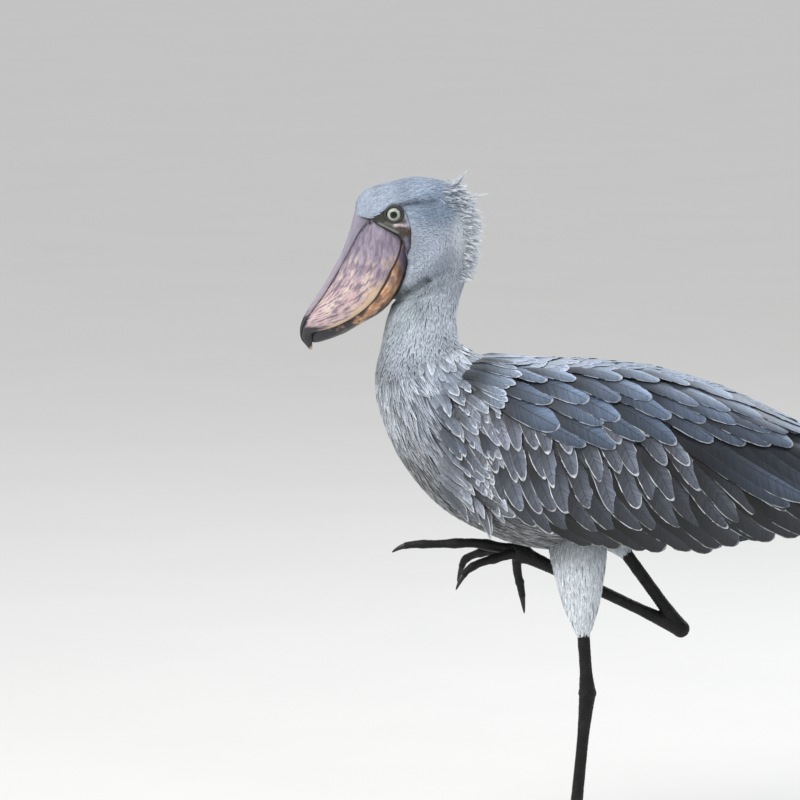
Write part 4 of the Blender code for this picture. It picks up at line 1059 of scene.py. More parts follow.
class BIRD_OT_crest(bpy.types.Operator):
    """The ragged crest on the nape: bundles of hair-like feathers, and a fringe of shorter ones between them"""

    bl_idname = "bird.crest"
    bl_label = "Crest"

    def execute(self, context):
        plumage = context.scene.bird_plumage
        chance = np.random.RandomState(plumage.seed + 30)
        look = feather_look("crest_feathers", plumage.rim_colour, plumage.shaft_colour, 0.7, 0.2, 0.4)
        locks = np.repeat(np.array(CREST), 9, axis=0)
        count = len(locks)
        short_u, short_v = sample(bird, (13.9, -0.8), (17.2, 0.8), 0.0054, chance)
        base, out = on(bird, 1, short_u, short_v)
        back = unit(0.55 * out + (0.55, 0, -0.35) + chance.normal(0, 0.18, out.shape))
        tuft_tips = base + back * chance.uniform(0.009, 0.020, (len(base), 1))
        base, tuft_tips = np.repeat(base - out * 0.002, 3, axis=0), np.repeat(tuft_tips, 3, axis=0)
        roots = np.concatenate([locks[:, 0], base])
        tips = np.concatenate([locks[:, 1], tuft_tips])
        total = len(roots)
        lock_roots = roots
        roots = roots + chance.normal(0, 1, (total, 3)) * (0.0016, 0.0030, 0.0022)
        reach = (tips - lock_roots) * chance.uniform(0.45, 1.0, (total, 1)) ** 0.6
        tips = lock_roots + reach + chance.normal(0, 1, (total, 3)) * (0.0007, 0.0012, 0.0009)
        shares = np.linspace(0, 1, 7)
        paths = roots[:, None] + (tips - roots)[:, None] * shares[:, None]
        sag = chance.uniform(-0.06, 0.09, (total, 1, 1)) * np.linalg.norm(tips - roots, axis=1)[:, None, None]
        paths = paths + sag * (np.sin(shares * math.pi)[None, :, None] * np.array((0.2, 0.0, -1.0)))
        ahead = unit(np.gradient(paths, axis=1))
        normals = unit(np.cross(ahead, unit(chance.normal(0, 1, (total, 1, 3)) + (0, 2.0, 0))))
        halves = chance.uniform(0.0004, 0.0009, total)
        tint = tinted(roots, chance, 0.06)
        # Blended toward near white: partly the crest's own pale grey, partly painted rim light along the nape.
        tint[:, :3] = 0.45 * tint[:, :3] + 0.55 * np.array(srgb(236, 240, 246))
        bake = 0.05 + 0.9 * chance.random_sample((len(roots), 2))
        mesh = feather_mesh("crest_feathers", paths, normals, halves, "lance", shares, (-1, 0, 1), tint, bake, chance,
                            0.0, 0.4)
        add_piece("crest_feathers", mesh, look, "pale_plumage")
        return {"FINISHED"}


# Upper mandible: ridge x, ridge z, edge x, edge z, half width, from the base to the hooked nail.
UPPER_BILL = (
    (-0.305, 0.930, -0.237, 0.899, 0.043),
    (-0.312, 0.904, -0.239, 0.885, 0.047),
    (-0.321, 0.881, -0.245, 0.869, 0.050),
    (-0.332, 0.858, -0.253, 0.854, 0.051),
    (-0.344, 0.837, -0.263, 0.833, 0.050),
    (-0.357, 0.816, -0.277, 0.812, 0.046),
    (-0.370, 0.797, -0.300, 0.792, 0.040),
    (-0.378, 0.781, -0.328, 0.776, 0.031),
    (-0.381, 0.767, -0.353, 0.768, 0.020),
    (-0.379, 0.755, -0.363, 0.764, 0.011),
    (-0.372, 0.746, -0.364, 0.756, 0.006),
    (-0.366, 0.739, -0.364, 0.741, 0.0015),
)
LOWER_BILL = (
    (-0.234, 0.900, -0.226, 0.866, 0.041),
    (-0.240, 0.883, -0.229, 0.848, 0.045),
    (-0.248, 0.864, -0.236, 0.833, 0.048),
    (-0.260, 0.836, -0.248, 0.815, 0.048),
    (-0.275, 0.815, -0.265, 0.796, 0.044),
    (-0.297, 0.795, -0.290, 0.780, 0.037),
    (-0.325, 0.778, -0.320, 0.763, 0.027),
    (-0.350, 0.770, -0.346, 0.753, 0.017),
    (-0.362, 0.764, -0.361, 0.750, 0.008),
    (-0.366, 0.760, -0.366, 0.755, 0.002),
)
KEEL_WIDTH, KEEL_DROP = (0.17, 0.30), (0.11, 0.20)
NOSTRIL = ((-0.2935, 0.9080), (-0.2810, 0.9215), 0.0011, 0.0034)  # from, to in x, z, half width and depth


def upper_outline(share):
    """Half of the upper mandible's section at each share of its length, as width and depth: a keel, the groove
    beside it, the bulging side, the cutting edge and the palate."""
    near_base = np.exp(-14 * np.clip(share, 0, 1))
    keel = KEEL_WIDTH[0] + KEEL_WIDTH[1] * near_base
    drop = KEEL_DROP[0] + KEEL_DROP[1] * near_base
    outline = [(0 * keel, 0 * keel), (keel * 0.45, 0 * keel + 0.004), (keel * 0.85, drop * 0.35),
               (keel * 1.0, drop * 0.8), (keel * 1.03, drop * 1.02)]
    for turn in np.radians((24, 42, 60, 76, 90)):
        out = keel * 1.12 + (1 - keel * 1.12) * math.sin(turn) ** 0.85
        outline.append((out, drop + (0.92 - drop) * (1 - math.cos(turn))))
    outline += [(0 * keel + 0.955, 0 * keel + 0.985), (0 * keel + 0.90, 0 * keel + 1.0),
                (0 * keel + 0.5, 0 * keel + 0.965), (0 * keel, 0 * keel + 0.955)]
    return np.array([np.broadcast_arrays(*point) for point in outline])


def lower_outline(share):
    """Half of the lower mandible's section, as width and depth: flat above, round below."""
    outline = [(0, -0.06), (0.55, -0.06), (0.93, -0.05), (1.0, 0.10)]
    outline += [(math.cos(t) ** 0.8, 0.12 + 0.88 * math.sin(t)) for t in np.radians((20, 40, 58, 74, 89))]
    outline.append((0, 1.0))
    return np.array(outline)[:, :, None] + 0 * share


def mandible(stations, outline):
    """A mandible's surface: stations from ridge to edge along its length, a section round each.

    share runs from 0 at the base to 1 at the tip, turn from -1 round the left side to 1 on the right, 0 on the ridge.
    """

    def surface(share, turn):
        share, turn = np.broadcast_arrays(share, turn)
        tx, tz, ex, ez, half = np.moveaxis(spline(stations, share * (len(stations) - 1)), -1, 0)
        points = outline(share.ravel())
        at = np.abs(turn).ravel() * (len(points) - 1)
        low = np.clip(at.astype(int), 0, len(points) - 2)
        t = at - low
        padded = np.concatenate([points[1:2] * np.array((-1, 1))[:, None], points,
                                 points[-2:-1] * np.array((-1, 1))[:, None]])
        which = np.arange(len(at))
        a, b, c, d = (padded[low + k, :, which].T for k in range(4))
        width, depth = b + 0.5 * t * (c - a + t * (2 * a - 5 * b + 4 * c - d + t * (3 * (b - c) + d - a)))
        width, depth = width.reshape(share.shape), depth.reshape(share.shape)
        return np.stack([tx + (ex - tx) * depth, np.sign(turn) * half * width, tz + (ez - tz) * depth], axis=-1)

    return surface


def mandible_mesh(name, stations, outline, rows, sides, facing, relief, peak=0.0):
    """The mandible as a closed mesh, moved out by its relief, with its place along and round it as attributes.

    Its base runs on into the head, and up to `peak` further on its sides.
    """
    turn = np.broadcast_to(np.linspace(-1, 1, sides, endpoint=False)[None], (rows, sides))
    first = -0.025 - peak * smooth(0.16, 0.30, np.abs(turn)) * smooth(0.68, 0.46, np.abs(turn))
    share = first + (1 - first) * (1 - (1 - np.linspace(0, 1, rows)) ** 1.1)[:, None]
    surface = mandible(stations, outline)
    points = surface(share, turn)
    normals = unit(np.cross(np.gradient(points, axis=1), np.gradient(points, axis=0))) * facing
    points = points + normals * relief(points, share, np.abs(turn))[..., None]
    mesh = sheet_mesh(name, points)
    ends = np.array([[0, 0, 0], [1, 0, 0]])
    shape = np.stack([np.clip(share, 0, 1), np.abs(turn), 0 * share], axis=-1).reshape(-1, 3)
    put_vector(mesh, "Horn", np.concatenate([shape, ends]))
    run = np.cumsum(np.linalg.norm(np.diff(points, axis=0, prepend=points[:1]), axis=-1), axis=0)
    around = np.cumsum(np.linalg.norm(np.diff(points, axis=1, prepend=points[:, :1]), axis=-1), axis=1)
    put_uv(mesh, "Grain", np.concatenate([np.stack([run, around], axis=-1).reshape(-1, 2), np.zeros((2, 2))]))
    return mesh


def upper_relief(points, share, turn):
    """Shallow dents and long ridges, with the nostril's slit sunk on each side."""
    start, end, half, depth = NOSTRIL
    slit = smooth(half * 1.5, half * 0.4, off_line(points, start, end)) * (turn > 0.2) * (turn < 0.8)
    ridges = np.sin(turn * 46 + 5 * share + 1.4 * mottle(points, 0.05, 3)) * 0.00013
    return 0.0005 * mottle(points, 0.035, 1) + ridges * (1 - share) - depth * slit


def lower_relief(points, share, turn):
    return 0.0004 * mottle(points, 0.03, 2)


def horn_look(name, bare, lower):
    """Horn: pinkish and mottled with grey along its grain, greyer to the base and dark at the hooked tip."""
    look = Look(name, Roughness=0.42, Specular_IOR_Level=0.45, Coat_Weight=0.08, Coat_Roughness=0.35)
    horn = look.add("ShaderNodeSeparateXYZ", Vector=look.attribute("Horn").outputs["Vector"])
    share, turn = horn.outputs["X"], horn.outputs["Y"]
    grain = look.add("ShaderNodeUVMap", {"uv_map": "Grain"}).outputs["UV"]
    long = look.noise(look.place((62, 165, 1), (0, 0, 0.25), grain), 1.0, 4, 0.6)
    patch = look.noise(look.place((38, 60, 1), source=grain), 1.0, 3)
    speck = look.cells(look.place((210, 420, 1), source=grain), 1.0, "F1")
    wander = look.step(patch, 0.2, 0.8, -0.12, 0.12)
    if lower:
        warm = look.mix(look.step(long, 0.36, 0.56), bare.cream_colour, bare.amber_colour)
        warm = look.mix(look.step(patch, 0.48, 0.62, 0.0, 0.75), warm, bare.brown_colour)
        colour = look.mix(look.step(look.math("ADD", turn, wander), 0.50, 0.72), warm, bare.dark_colour)
        base = look.step(look.math("ADD", share, wander), 0.30, 0.12)
        colour = look.mix(base, colour, bare.gape_colour)
        dark = look.step(look.math("ADD", share, wander), 0.54, 0.68)
    else:
        pale = look.mix(look.step(patch, 0.42, 0.66), bare.pink_colour, bare.blush_colour)
        colour = look.mix(look.step(long, 0.43, 0.62, 0.0, 0.9), pale, bare.grey_colour)
        colour = look.mix(look.step(speck, 0.35, 0.12, 0.0, 0.3), colour, bare.brown_colour)
        edge = look.step(look.math("ADD", turn, look.math("MULTIPLY", wander, 0.3)), 0.625, 0.68, 0.0, 0.85)
        colour = look.mix(edge, colour, bare.cream_colour)
        base = look.step(look.math("ADD", share, wander), 0.46, 0.12, 0.0, 0.95)
        colour = look.mix(base, colour, look.mix(look.step(long, 0.4, 0.6), bare.violet_colour, bare.grey_colour))
        keel = look.step(look.math("ADD", turn, look.math("MULTIPLY", wander, 0.2)), 0.30, 0.27, 0.0, 0.8)
        colour = look.mix(keel, colour, bare.keel_colour)
        groove = look.math("MULTIPLY", look.step(turn, 0.275, 0.295), look.step(turn, 0.335, 0.31))
        groove = look.math("MULTIPLY", groove, look.step(long, 0.35, 0.6, 0.35, 0.9))
        colour = look.mix(groove, colour, bare.dark_colour)
        lip = look.step(turn, 0.72, 0.745)
        colour = look.mix(lip, colour, bare.brown_colour)
        front = look.math("SUBTRACT", share, look.step(turn, 0.22, 0.45, 0.0, 0.10))
        front = look.math("ADD", front, look.math("MULTIPLY", wander, 0.35))
        dark = look.step(front, 0.535, 0.61)
    colour = look.mix(dark, colour, bare.dark_colour)
    nail = look.step(share, 0.95, 0.99, 0.0, 0.75)
    look.colour(look.mix(nail, colour, bare.cream_colour))
    height = look.math("ADD", look.math("MULTIPLY", long, 0.8), look.math("MULTIPLY", speck, 0.2))
    look.bump(height, 0.35, 0.0007)
    return look.material


class BIRD_OT_bill(bpy.types.Operator):
    """The bill's two mandibles: a keeled, mottled upper one with a hooked nail, and the narrow lower one"""

    bl_idname = "bird.bill"
    bl_label = "Bill"

    def execute(self, context):
        bare = context.scene.bird_bare
        upper = mandible_mesh("bill_upper_horn", UPPER_BILL, upper_outline, 300, 200, 1, upper_relief, 0.03)
        add_piece("bill_upper_horn", upper, horn_look("upper_horn", bare, False), "bill_horn", "bill_upper")
        lower = mandible_mesh("bill_lower_horn", LOWER_BILL, lower_outline, 220, 120, 1, lower_relief)
        add_piece("bill_lower_horn", lower, horn_look("lower_horn", bare, True), "bill_horn", "bill_lower")
        return {"FINISHED"}


def eye_frame(side):
    """The eye's middle, and unit vectors out of it, up and forward across it."""
    middle = np.array(EYE) * (1, side, 1)
    out = unit(np.array((-0.12, side, 0.02)))
    fore = unit(np.array((-1.0, 0, 0)) - out * (out @ (-1.0, 0, 0)))
    return middle, out, np.cross(fore, out) * side, fore


def eye_mesh(name, side):
    """A ball with its pole on the pupil, with a raised cornea, and how far each point is off the pole."""
    middle, out, up, fore = eye_frame(side)
    polar = np.linspace(0.02, math.pi - 0.02, 90)[:, None]
    around = np.arange(96)[None] * 2 * math.pi / 96
    cornea = 0.0006 * smooth(0.95, 0.55, polar)
    radius = EYE_RADIUS + cornea
    off = np.sin(polar)[..., None] * (np.cos(around)[..., None] * fore + np.sin(around)[..., None] * up)
    points = middle + radius[..., None] * (np.cos(polar)[..., None] * out + off)
    mesh = sheet_mesh(name, points)
    far = np.broadcast_to(radius * np.sin(polar) * 1000, points.shape[:2])
    away = np.where(polar > math.pi / 2, 99, far)
    place = np.stack([away, np.broadcast_to(np.cos(around), away.shape), np.broadcast_to(np.sin(around), away.shape)],
                     axis=-1)
    put_vector(mesh, "Iris", np.concatenate([place.reshape(-1, 3), [[0, 0, 0], [99, 0, 0]]]))
    return mesh


def eye_look(bare):
    """The eye: a black pupil, a pale iris with fine rays and a dark rim, under a clear wet coat."""
    look = Look("eye", Roughness=0.25, Specular_IOR_Level=0.2, Coat_Weight=0.45, Coat_Roughness=0.02)
    iris = look.attribute("Iris").outputs["Vector"]
    far = look.add("ShaderNodeSeparateXYZ", Vector=iris).outputs["X"]
    rays = look.noise(look.place((0.35, 9, 9), source=iris), 1.0, 3, 0.6)
    colour = look.mix(look.step(rays, 0.35, 0.65), bare.iris_colour, bare.iris_ray_colour)
    colour = look.mix(look.step(far, 6.6, 5.2, 0.0, 0.6), colour, bare.iris_ray_colour)
    colour = look.mix(look.step(far, 8.6, 9.8), colour, bare.pupil_colour)
    look.colour(look.mix(look.step(far, 5.15, 4.85), colour, bare.pupil_colour))
    return look.material


def lid_mesh(name, side):
    """A ring of skin round the eye: an oval section, thicker above, carried round the pupil's axis."""
    middle, out, up, fore = eye_frame(side)
    around = (np.arange(120) * 2 * math.pi / 120)[:, None]
    turn = (np.arange(28) * 2 * math.pi / 28)[None]
    above = smooth(-0.2, 0.9, np.sin(around))
    thick = 0.0019 + 0.0007 * above + 0.00022 * np.sin(around * 23 + 2 * np.cos(around * 5))
    ring = 0.0118 - 0.0009 * above + 0.0008 * np.cos(around) ** 4
    radial = ring + thick * np.cos(turn)
    axial = 0.0079 + (0.0011 + 0.0009 * above) * np.sin(turn) - 0.22 * thick * np.cos(turn)
    spoke = np.cos(around)[..., None] * fore + np.sin(around)[..., None] * up
    points = middle + radial[..., None] * spoke + axial[..., None] * out
    rows, sides = points.shape[:2]
    i, j = np.meshgrid(np.arange(rows), np.arange(sides), indexing="ij")
    a, b = i * sides + j, i * sides + (j + 1) % sides
    c, d = (i + 1) % rows * sides + (j + 1) % sides, (i + 1) % rows * sides + j
    quads = np.stack([a, b, c, d] if side < 0 else [d, c, b, a], axis=-1)
    return fill_mesh(name, points.reshape(-1, 3), quads.ravel(), np.full(rows * sides, 4))


# Tones of the bare face, each painted over the last: line in x, z, reach, and colour.
FACE_TONES = (
    ((-0.2330, 0.9420), (-0.2280, 0.9200), 0.0042, (146, 150, 160)),
    ((-0.2700, 0.9212), (-0.2440, 0.9090), 0.0020, (112, 116, 112)),
    ((-0.2600, 0.9220), (-0.2470, 0.9170), 0.0028, (84, 84, 78)),
    ((-0.2480, 0.9195), (-0.2330, 0.9190), 0.0024, (176, 166, 172)),
    ((-0.2400, 0.9130), (-0.2260, 0.9080), 0.0044, (66, 50, 44)),
    ((-0.2330, 0.9000), (-0.2270, 0.8800), 0.0042, (104, 100, 116)),
    ((-0.2800, 0.9235), (-0.2440, 0.9060), 0.0011, (18, 17, 18)),
    ((-0.2440, 0.9060), (-0.2375, 0.8970), 0.0018, (24, 20, 20)),
    ((-0.2375, 0.8970), (-0.2325, 0.8820), 0.0016, (44, 40, 48)),
)


def on_head(x, z, side):
    """The head's surface and normals at x, z on one side: Newton's method on station and angle, begun at the
    nearest of a grid of samples."""
    station, angle = (grid.ravel() for grid in np.meshgrid(np.linspace(14, 21.9, 60), side * np.linspace(0.2, 2.9, 40)))
    goal = np.stack([x, z], axis=-1).reshape(-1, 2)
    samples = bird(station, angle)[:, [0, 2]]
    near = ((goal**2).sum(1)[:, None] + (samples**2).sum(1) - 2 * goal @ samples.T).argmin(axis=1)
    station, angle = station[near], angle[near]
    for _ in range(10):
        here = bird(station, angle)[:, [0, 2]]
        along = (bird(station + 1e-4, angle)[:, [0, 2]] - here) / 1e-4
        around = (bird(station, angle + 1e-4)[:, [0, 2]] - here) / 1e-4
        miss = goal - here
        area = along[:, 0] * around[:, 1] - along[:, 1] * around[:, 0]
        area = np.where(np.abs(area) < 1e-9, 1e-9, area)
        station = station + np.clip((miss[:, 0] * around[:, 1] - miss[:, 1] * around[:, 0]) / area, -0.3, 0.3)
        angle = angle + np.clip((miss[:, 1] * along[:, 0] - miss[:, 0] * along[:, 1]) / area, -0.1, 0.1)
    points, normals = on(bird, 1, station, angle)
    return points.reshape(*x.shape, 3), normals.reshape(*x.shape, 3)


def face_mesh(name, side):
    """Bare skin between the brow and the horn: a cushion over the head's surface whose edges dip under the
    feathers, sunk where the eye sits and creased in lines that run with the gape."""
    u = np.linspace(0, 1, 170)[:, None]
    v = np.linspace(0, 1, 90)[None]
    low, high = spline(FACE_LOW, u * (len(FACE_LOW) - 1)), spline(FACE_HIGH, u * (len(FACE_HIGH) - 1))
    place = low + (high - low) * v[..., None]
    points, normals = on_head(place[..., 0], place[..., 1], side)
    rim = smooth(0, 0.10, v) * smooth(1, 0.90, v) * smooth(0, 0.05, u) * smooth(1, 0.95, u)
    eye = np.linalg.norm(place - np.array(EYE)[[0, 2]], axis=-1)
    crease = np.sin(v * 40 + 2.5 * mottle(points, 0.02, 5)) * 0.00028
    height = -0.0042 + rim * (0.0036 + crease + 0.0004 * mottle(points, 0.006, 6))
    height = height - 0.0070 * smooth(0.0122, 0.0098, eye) + 0.0010 * np.exp(-(((eye - 0.0165) / 0.002) ** 2)) * rim
    outer = points + normals * height[..., None]
    inner = points - normals * 0.0110
    mesh = sheet_mesh(name, np.concatenate([outer, inner[:, ::-1]], axis=1))
    at = points_of(mesh)
    colour = np.tile(srgb(44, 44, 41), (len(at), 1))
    for start, end, reach, shade in FACE_TONES:
        near = np.exp(-((off_line(at, start, end) / reach) ** 2))[:, None]
        colour = colour * (1 - near) + np.array(srgb(*shade)) * near
    put_colour(mesh, "Tint", np.column_stack([colour, np.ones(len(at))]))
    return mesh


def face_look():
    """Bare skin of the face: its own tints, mottled, with fine wrinkles and a slight gloss."""
    look = Look("face_skin", Roughness=0.55, Specular_IOR_Level=0.35)
    fine = look.noise(look.place(), 900, 3)
    wrinkle = look.noise(look.place((1, 1, 2.5), (0, 0.45, 0)), 420, 4)
    shade = look.step(wrinkle, 0.3, 0.7, 0.65, 1.3)
    look.colour(look.mix(1.0, look.attribute("Tint").outputs["Color"], look.grey(shade), "MULTIPLY"))
    look.bump(look.math("ADD", wrinkle, look.math("MULTIPLY", fine, 0.4)), 0.6, 0.0006)
    return look.material


class BIRD_OT_face(bpy.types.Operator):
    """The bare, creased skin before and under each eye"""

    bl_idname = "bird.face"
    bl_label = "Bare face"

    def execute(self, context):
        look = face_look()
        for name, side in (("left", -1), ("right", 1)):
            add_piece(f"face_skin_{name}", face_mesh(f"face_skin_{name}", side), look, "leg_skin")
        return {"FINISHED"}


class BIRD_OT_eyes(bpy.types.Operator):
    """Both eyes with their dark lids"""

    bl_idname = "bird.eyes"
    bl_label = "Eyes"

    def execute(self, context):
        bare = context.scene.bird_bare
        glass = eye_look(bare)
        lid = Look("eyelid", Roughness=0.5, Specular_IOR_Level=0.4)
        wrinkle = lid.noise(lid.place(), 900, 3)
        lid.colour(lid.mix(lid.step(wrinkle, 0.35, 0.7), bare.lid_colour, bare.lores_colour))
        lid.bump(wrinkle, 0.4, 0.0004)
        for name, side in (("left", -1), ("right", 1)):
            add_piece(f"eyeball_{name}", eye_mesh(f"eyeball_{name}", side), glass, "eye", f"eye_{name}")
            add_piece(f"eyelid_{name}", lid_mesh(f"eyelid_{name}", side), lid.material, "leg_skin")
        return {"FINISHED"}


SHIN_RADIUS, HEEL_RADIUS, TARSUS_RADIUS, ANKLE_RADIUS = 0.0085, 0.0125, 0.0078, 0.0105
# Toes: length without the claw, root radius, tip radius, how many joints show.
TOES = {
    "inner": (0.128, 0.0072, 0.0046, 2),
    "middle": (0.168, 0.0078, 0.0048, 3),
    "outer": (0.132, 0.0072, 0.0046, 3),
    "hind": (0.078, 0.0068, 0.0048, 1),
}
CLAW_LENGTH = 0.017
LEFT_TOE_HEADINGS = {"inner": 33, "middle": 2, "outer": -31, "hind": 183}
SOLE_FLAT = 0.0012
RIGHT_TOE_PATHS = {
    "inner": ((-0.078, 0.034, 0.4484), (-0.105, 0.026, 0.4423), (-0.1316, 0.016, 0.435), (-0.1456, 0.010, 0.4273),
              (-0.1526, 0.006, 0.4193)),
    "middle": ((-0.0728, 0.040, 0.4533), (-0.1008, 0.040, 0.4554), (-0.1218, 0.040, 0.4596),
               (-0.1428, 0.040, 0.4617), (-0.1848, 0.040, 0.4603), (-0.2198, 0.040, 0.4596), (-0.2352, 0.040, 0.4575)),
    "outer": ((-0.081, 0.046, 0.4526), (-0.1078, 0.056, 0.4487), (-0.1316, 0.066, 0.4433), (-0.1484, 0.074, 0.434),
              (-0.154, 0.078, 0.4224)),
    "hind": ((-0.077, 0.042, 0.4405), (-0.0756, 0.044, 0.4192), (-0.0714, 0.046, 0.4008), (-0.0686, 0.046, 0.384)),
}
LEG_GRAIN = 0.0010  # the legs' meshes are remade at this size


def even_steps(path, count):
    """Points at even steps along a smooth curve through the path."""
    fine = spline(path, np.linspace(0, len(path) - 1, 400))
    run = np.concatenate([[0], np.cumsum(np.linalg.norm(np.diff(fine, axis=0), axis=1))])
    return np.stack([np.interp(np.linspace(0, run[-1], count), run, fine[:, k]) for k in range(3)], axis=1)


def toe_paths(side):
    """Each toe's smooth path from the ball of the foot to the claw."""
    if side == "right":
        return {toe: even_steps(path, 24) for toe, path in RIGHT_TOE_PATHS.items()}
    paths = {}
    x, y, _ = LEGS["left"]["foot"]
    for toe, heading in LEFT_TOE_HEADINGS.items():
        length, root, tip, _ = TOES[toe]
        out = np.array((-math.cos(math.radians(heading)), math.sin(math.radians(heading)), 0))
        start = np.array((x, y, root - SOLE_FLAT)) + out * 0.004
        ends = np.array([start, start + out * length * 0.5, start + out * length])
        ends[:, 2] = np.array((root, (root + tip) / 2, tip)) - SOLE_FLAT
        paths[toe] = even_steps(ends, 24)
    return paths


def toe_radii(toe, count):
    """Radius along a toe: a taper with a swelling at each joint."""
    _, root, tip, joints = TOES[toe]
    share = np.linspace(0, 1, count)
    radii = root + (tip - root) * share
    for k in range(joints):
        radii = radii * (1 + 0.2 * np.exp(-(((share - (k + 1) / (joints + 0.6)) / 0.06) ** 2)))
    return radii


def leg_tubes(side):
    """The paths and radii of one leg: shin, tarsus, pad and toes."""
    leg = LEGS[side]
    knee, heel, foot = (np.array(leg[key]) for key in ("knee", "heel", "foot"))
    start = heel - unit(heel - knee) * (leg["bare"] + 0.03)
    end = heel + (foot - heel) * 0.93
    ball = np.array((foot[0], foot[1], -0.003)) if side == "left" else foot + unit(foot - end) * 0.012
    wide = (ANKLE_RADIUS, 0.012, 0.0145, 0.0165, 0.014) if side == "left" else (ANKLE_RADIUS, 0.0125, 0.014, 0.0135, 0.009)
    swell = (HEEL_RADIUS * 0.93, TARSUS_RADIUS * 1.2, TARSUS_RADIUS, TARSUS_RADIUS * 1.1, ANKLE_RADIUS)
    share = np.linspace(0, 1, 12)
    tubes = {
        "shin": (even_steps((start, heel), 8), np.interp(share, (0, 0.75, 1), (SHIN_RADIUS, SHIN_RADIUS, swell[0]))),
        "tarsus": (even_steps((heel, end), 10), np.interp(share, (0, 0.15, 0.3, 0.85, 1), swell)),
        "pad": (even_steps((end, ball), 6), wide),
    }
    for toe, path in toe_paths(side).items():
        tubes[toe] = (path, toe_radii(toe, 24))
    return tubes


def ball_grid(centre, radii, rows=24, sides=32):
    """An ellipsoid as rings from pole to pole along Y."""
    polar = np.linspace(0.05, math.pi - 0.05, rows)[:, None]
    around = np.arange(sides)[None] * 2 * math.pi / sides
    ball = np.stack([np.sin(polar) * np.cos(around), np.cos(polar) + 0 * around, np.sin(polar) * np.sin(around)], -1)
    return np.array(centre) + ball * radii


def along_tubes(points, tubes):
    """Each point's run along the nearest tube, how far round it from the front or top, and whether it is a toe."""
    best = np.full(len(points), np.inf)
    found = np.zeros((len(points), 3))
    for name, (path, radii) in tubes.items():
        steps = even_steps(path, 160)
        ahead = unit(np.gradient(steps, axis=0))
        run = np.linspace(0, np.linalg.norm(np.diff(steps, axis=0), axis=1).sum(), 160)
        radius = np.interp(np.linspace(0, 1, 160), np.linspace(0, 1, len(radii)), radii)
        gap = ((points**2).sum(1)[:, None] + (steps**2).sum(1) - 2 * points @ steps.T)
        near = gap.argmin(axis=1)
        off = points - steps[near]
        short = (off * ahead[near]).sum(axis=1)
        side = np.cross(ahead[near], (0.0, 1.0, 0.0))
        angle = np.arctan2(off[:, 1], (off * unit(side)).sum(axis=1))
        distance = np.sqrt(np.maximum(gap[np.arange(len(points)), near], 0)) - radius[near]
        closer = distance < best
        toe = name in TOES
        values = np.stack([run[near] + short, angle, np.full(len(points), float(toe))], axis=-1)
        found[closer] = values[closer]
        best = np.minimum(best, distance)
    return found


def scale_height(run, angle, toe):
    """Relief of the scales, from 0 in the seams to 1: bands over the toes, six-sided plates in staggered rows
    round the shank."""
    band = np.abs((run / 0.0034) % 1 - 0.5) * 2
    bands = smooth(1.0, 0.72, band)
    rows = run / 0.0042
    row = np.floor(rows)
    around = angle / (2 * math.pi) * 11 + 0.5 * (row % 2)
    across = np.abs(around % 1 - 0.5) * 2
    down = np.abs(rows % 1 - 0.5) * 2
    plates = smooth(1.0, 0.68, np.maximum(down, across))
    return np.where(toe > 0.5, bands, plates)


def leg_mesh(name, side):
    """One leg: its tubes and heel made one skin at an even grain, smoothed, with the scales standing out."""
    tubes = leg_tubes(side)
    flat = {"shin": 0.85, "tarsus": 0.85}
    grids = [grid_of(limb(path, radii, flat.get(key, 1.0)), 0, 1, 70, 28) for key, (path, radii) in tubes.items()]
    heel = LEGS[side]["heel"]
    grids.append(ball_grid(heel, (HEEL_RADIUS, HEEL_RADIUS * 0.85, HEEL_RADIUS)))
    parts = [sheet_mesh(f"{name}_{k}", grid) for k, grid in enumerate(grids)]
    faces, sizes, points, offset = [], [], [], 0
    for part in parts:
        corners = np.empty(len(part.loops), np.int32)
        part.loops.foreach_get("vertex_index", corners)
        total = np.empty(len(part.polygons), np.int32)
        part.polygons.foreach_get("loop_total", total)
        faces.append(corners + offset)
        sizes.append(total)
        points.append(points_of(part))
        offset += len(part.vertices)
        bpy.data.meshes.remove(part)
    rough = fill_mesh(f"{name}_rough", np.concatenate(points), np.concatenate(faces), np.concatenate(sizes))
    spare = bpy.data.objects.new(f"{name}_rough", rough)
    bpy.context.scene.collection.objects.link(spare)
    remesh = spare.modifiers.new("remesh", "REMESH")
    remesh.mode, remesh.voxel_size, remesh.adaptivity = "VOXEL", LEG_GRAIN, 0.0
    even = spare.modifiers.new("smooth", "SMOOTH")
    even.factor, even.iterations = 0.5, 7
    graph = bpy.context.evaluated_depsgraph_get()
    mesh = bpy.data.meshes.new_from_object(spare.evaluated_get(graph))
    mesh.name = name
    bpy.data.objects.remove(spare)
    bpy.data.meshes.remove(rough)
    at = points_of(mesh)
    normals = np.empty(len(mesh.vertices) * 3, np.float32)
    mesh.vertices.foreach_get("normal", normals)
    normals = normals.reshape(-1, 3)
    found = along_tubes(at, tubes)
    top = np.where(found[:, 2] > 0.5, smooth(-0.5, 0.3, normals[:, 2]), 1.0)
    joint = 0.0005 * mottle(at, 0.012, 4)
    height = scale_height(found[:, 0], found[:, 1], found[:, 2]) * top
    moved = at + normals * (0.00055 * height - 0.00015 + joint * 0.4)[:, None]
    if side == "left":
        moved[:, 2] = np.maximum(moved[:, 2], 0.0001)
    mesh.vertices.foreach_set("co", moved.astype(np.float32).ravel())
    put_vector(mesh, "Scales", np.stack([found[:, 0], height, found[:, 2]], axis=-1))
    mesh.update()
    return mesh


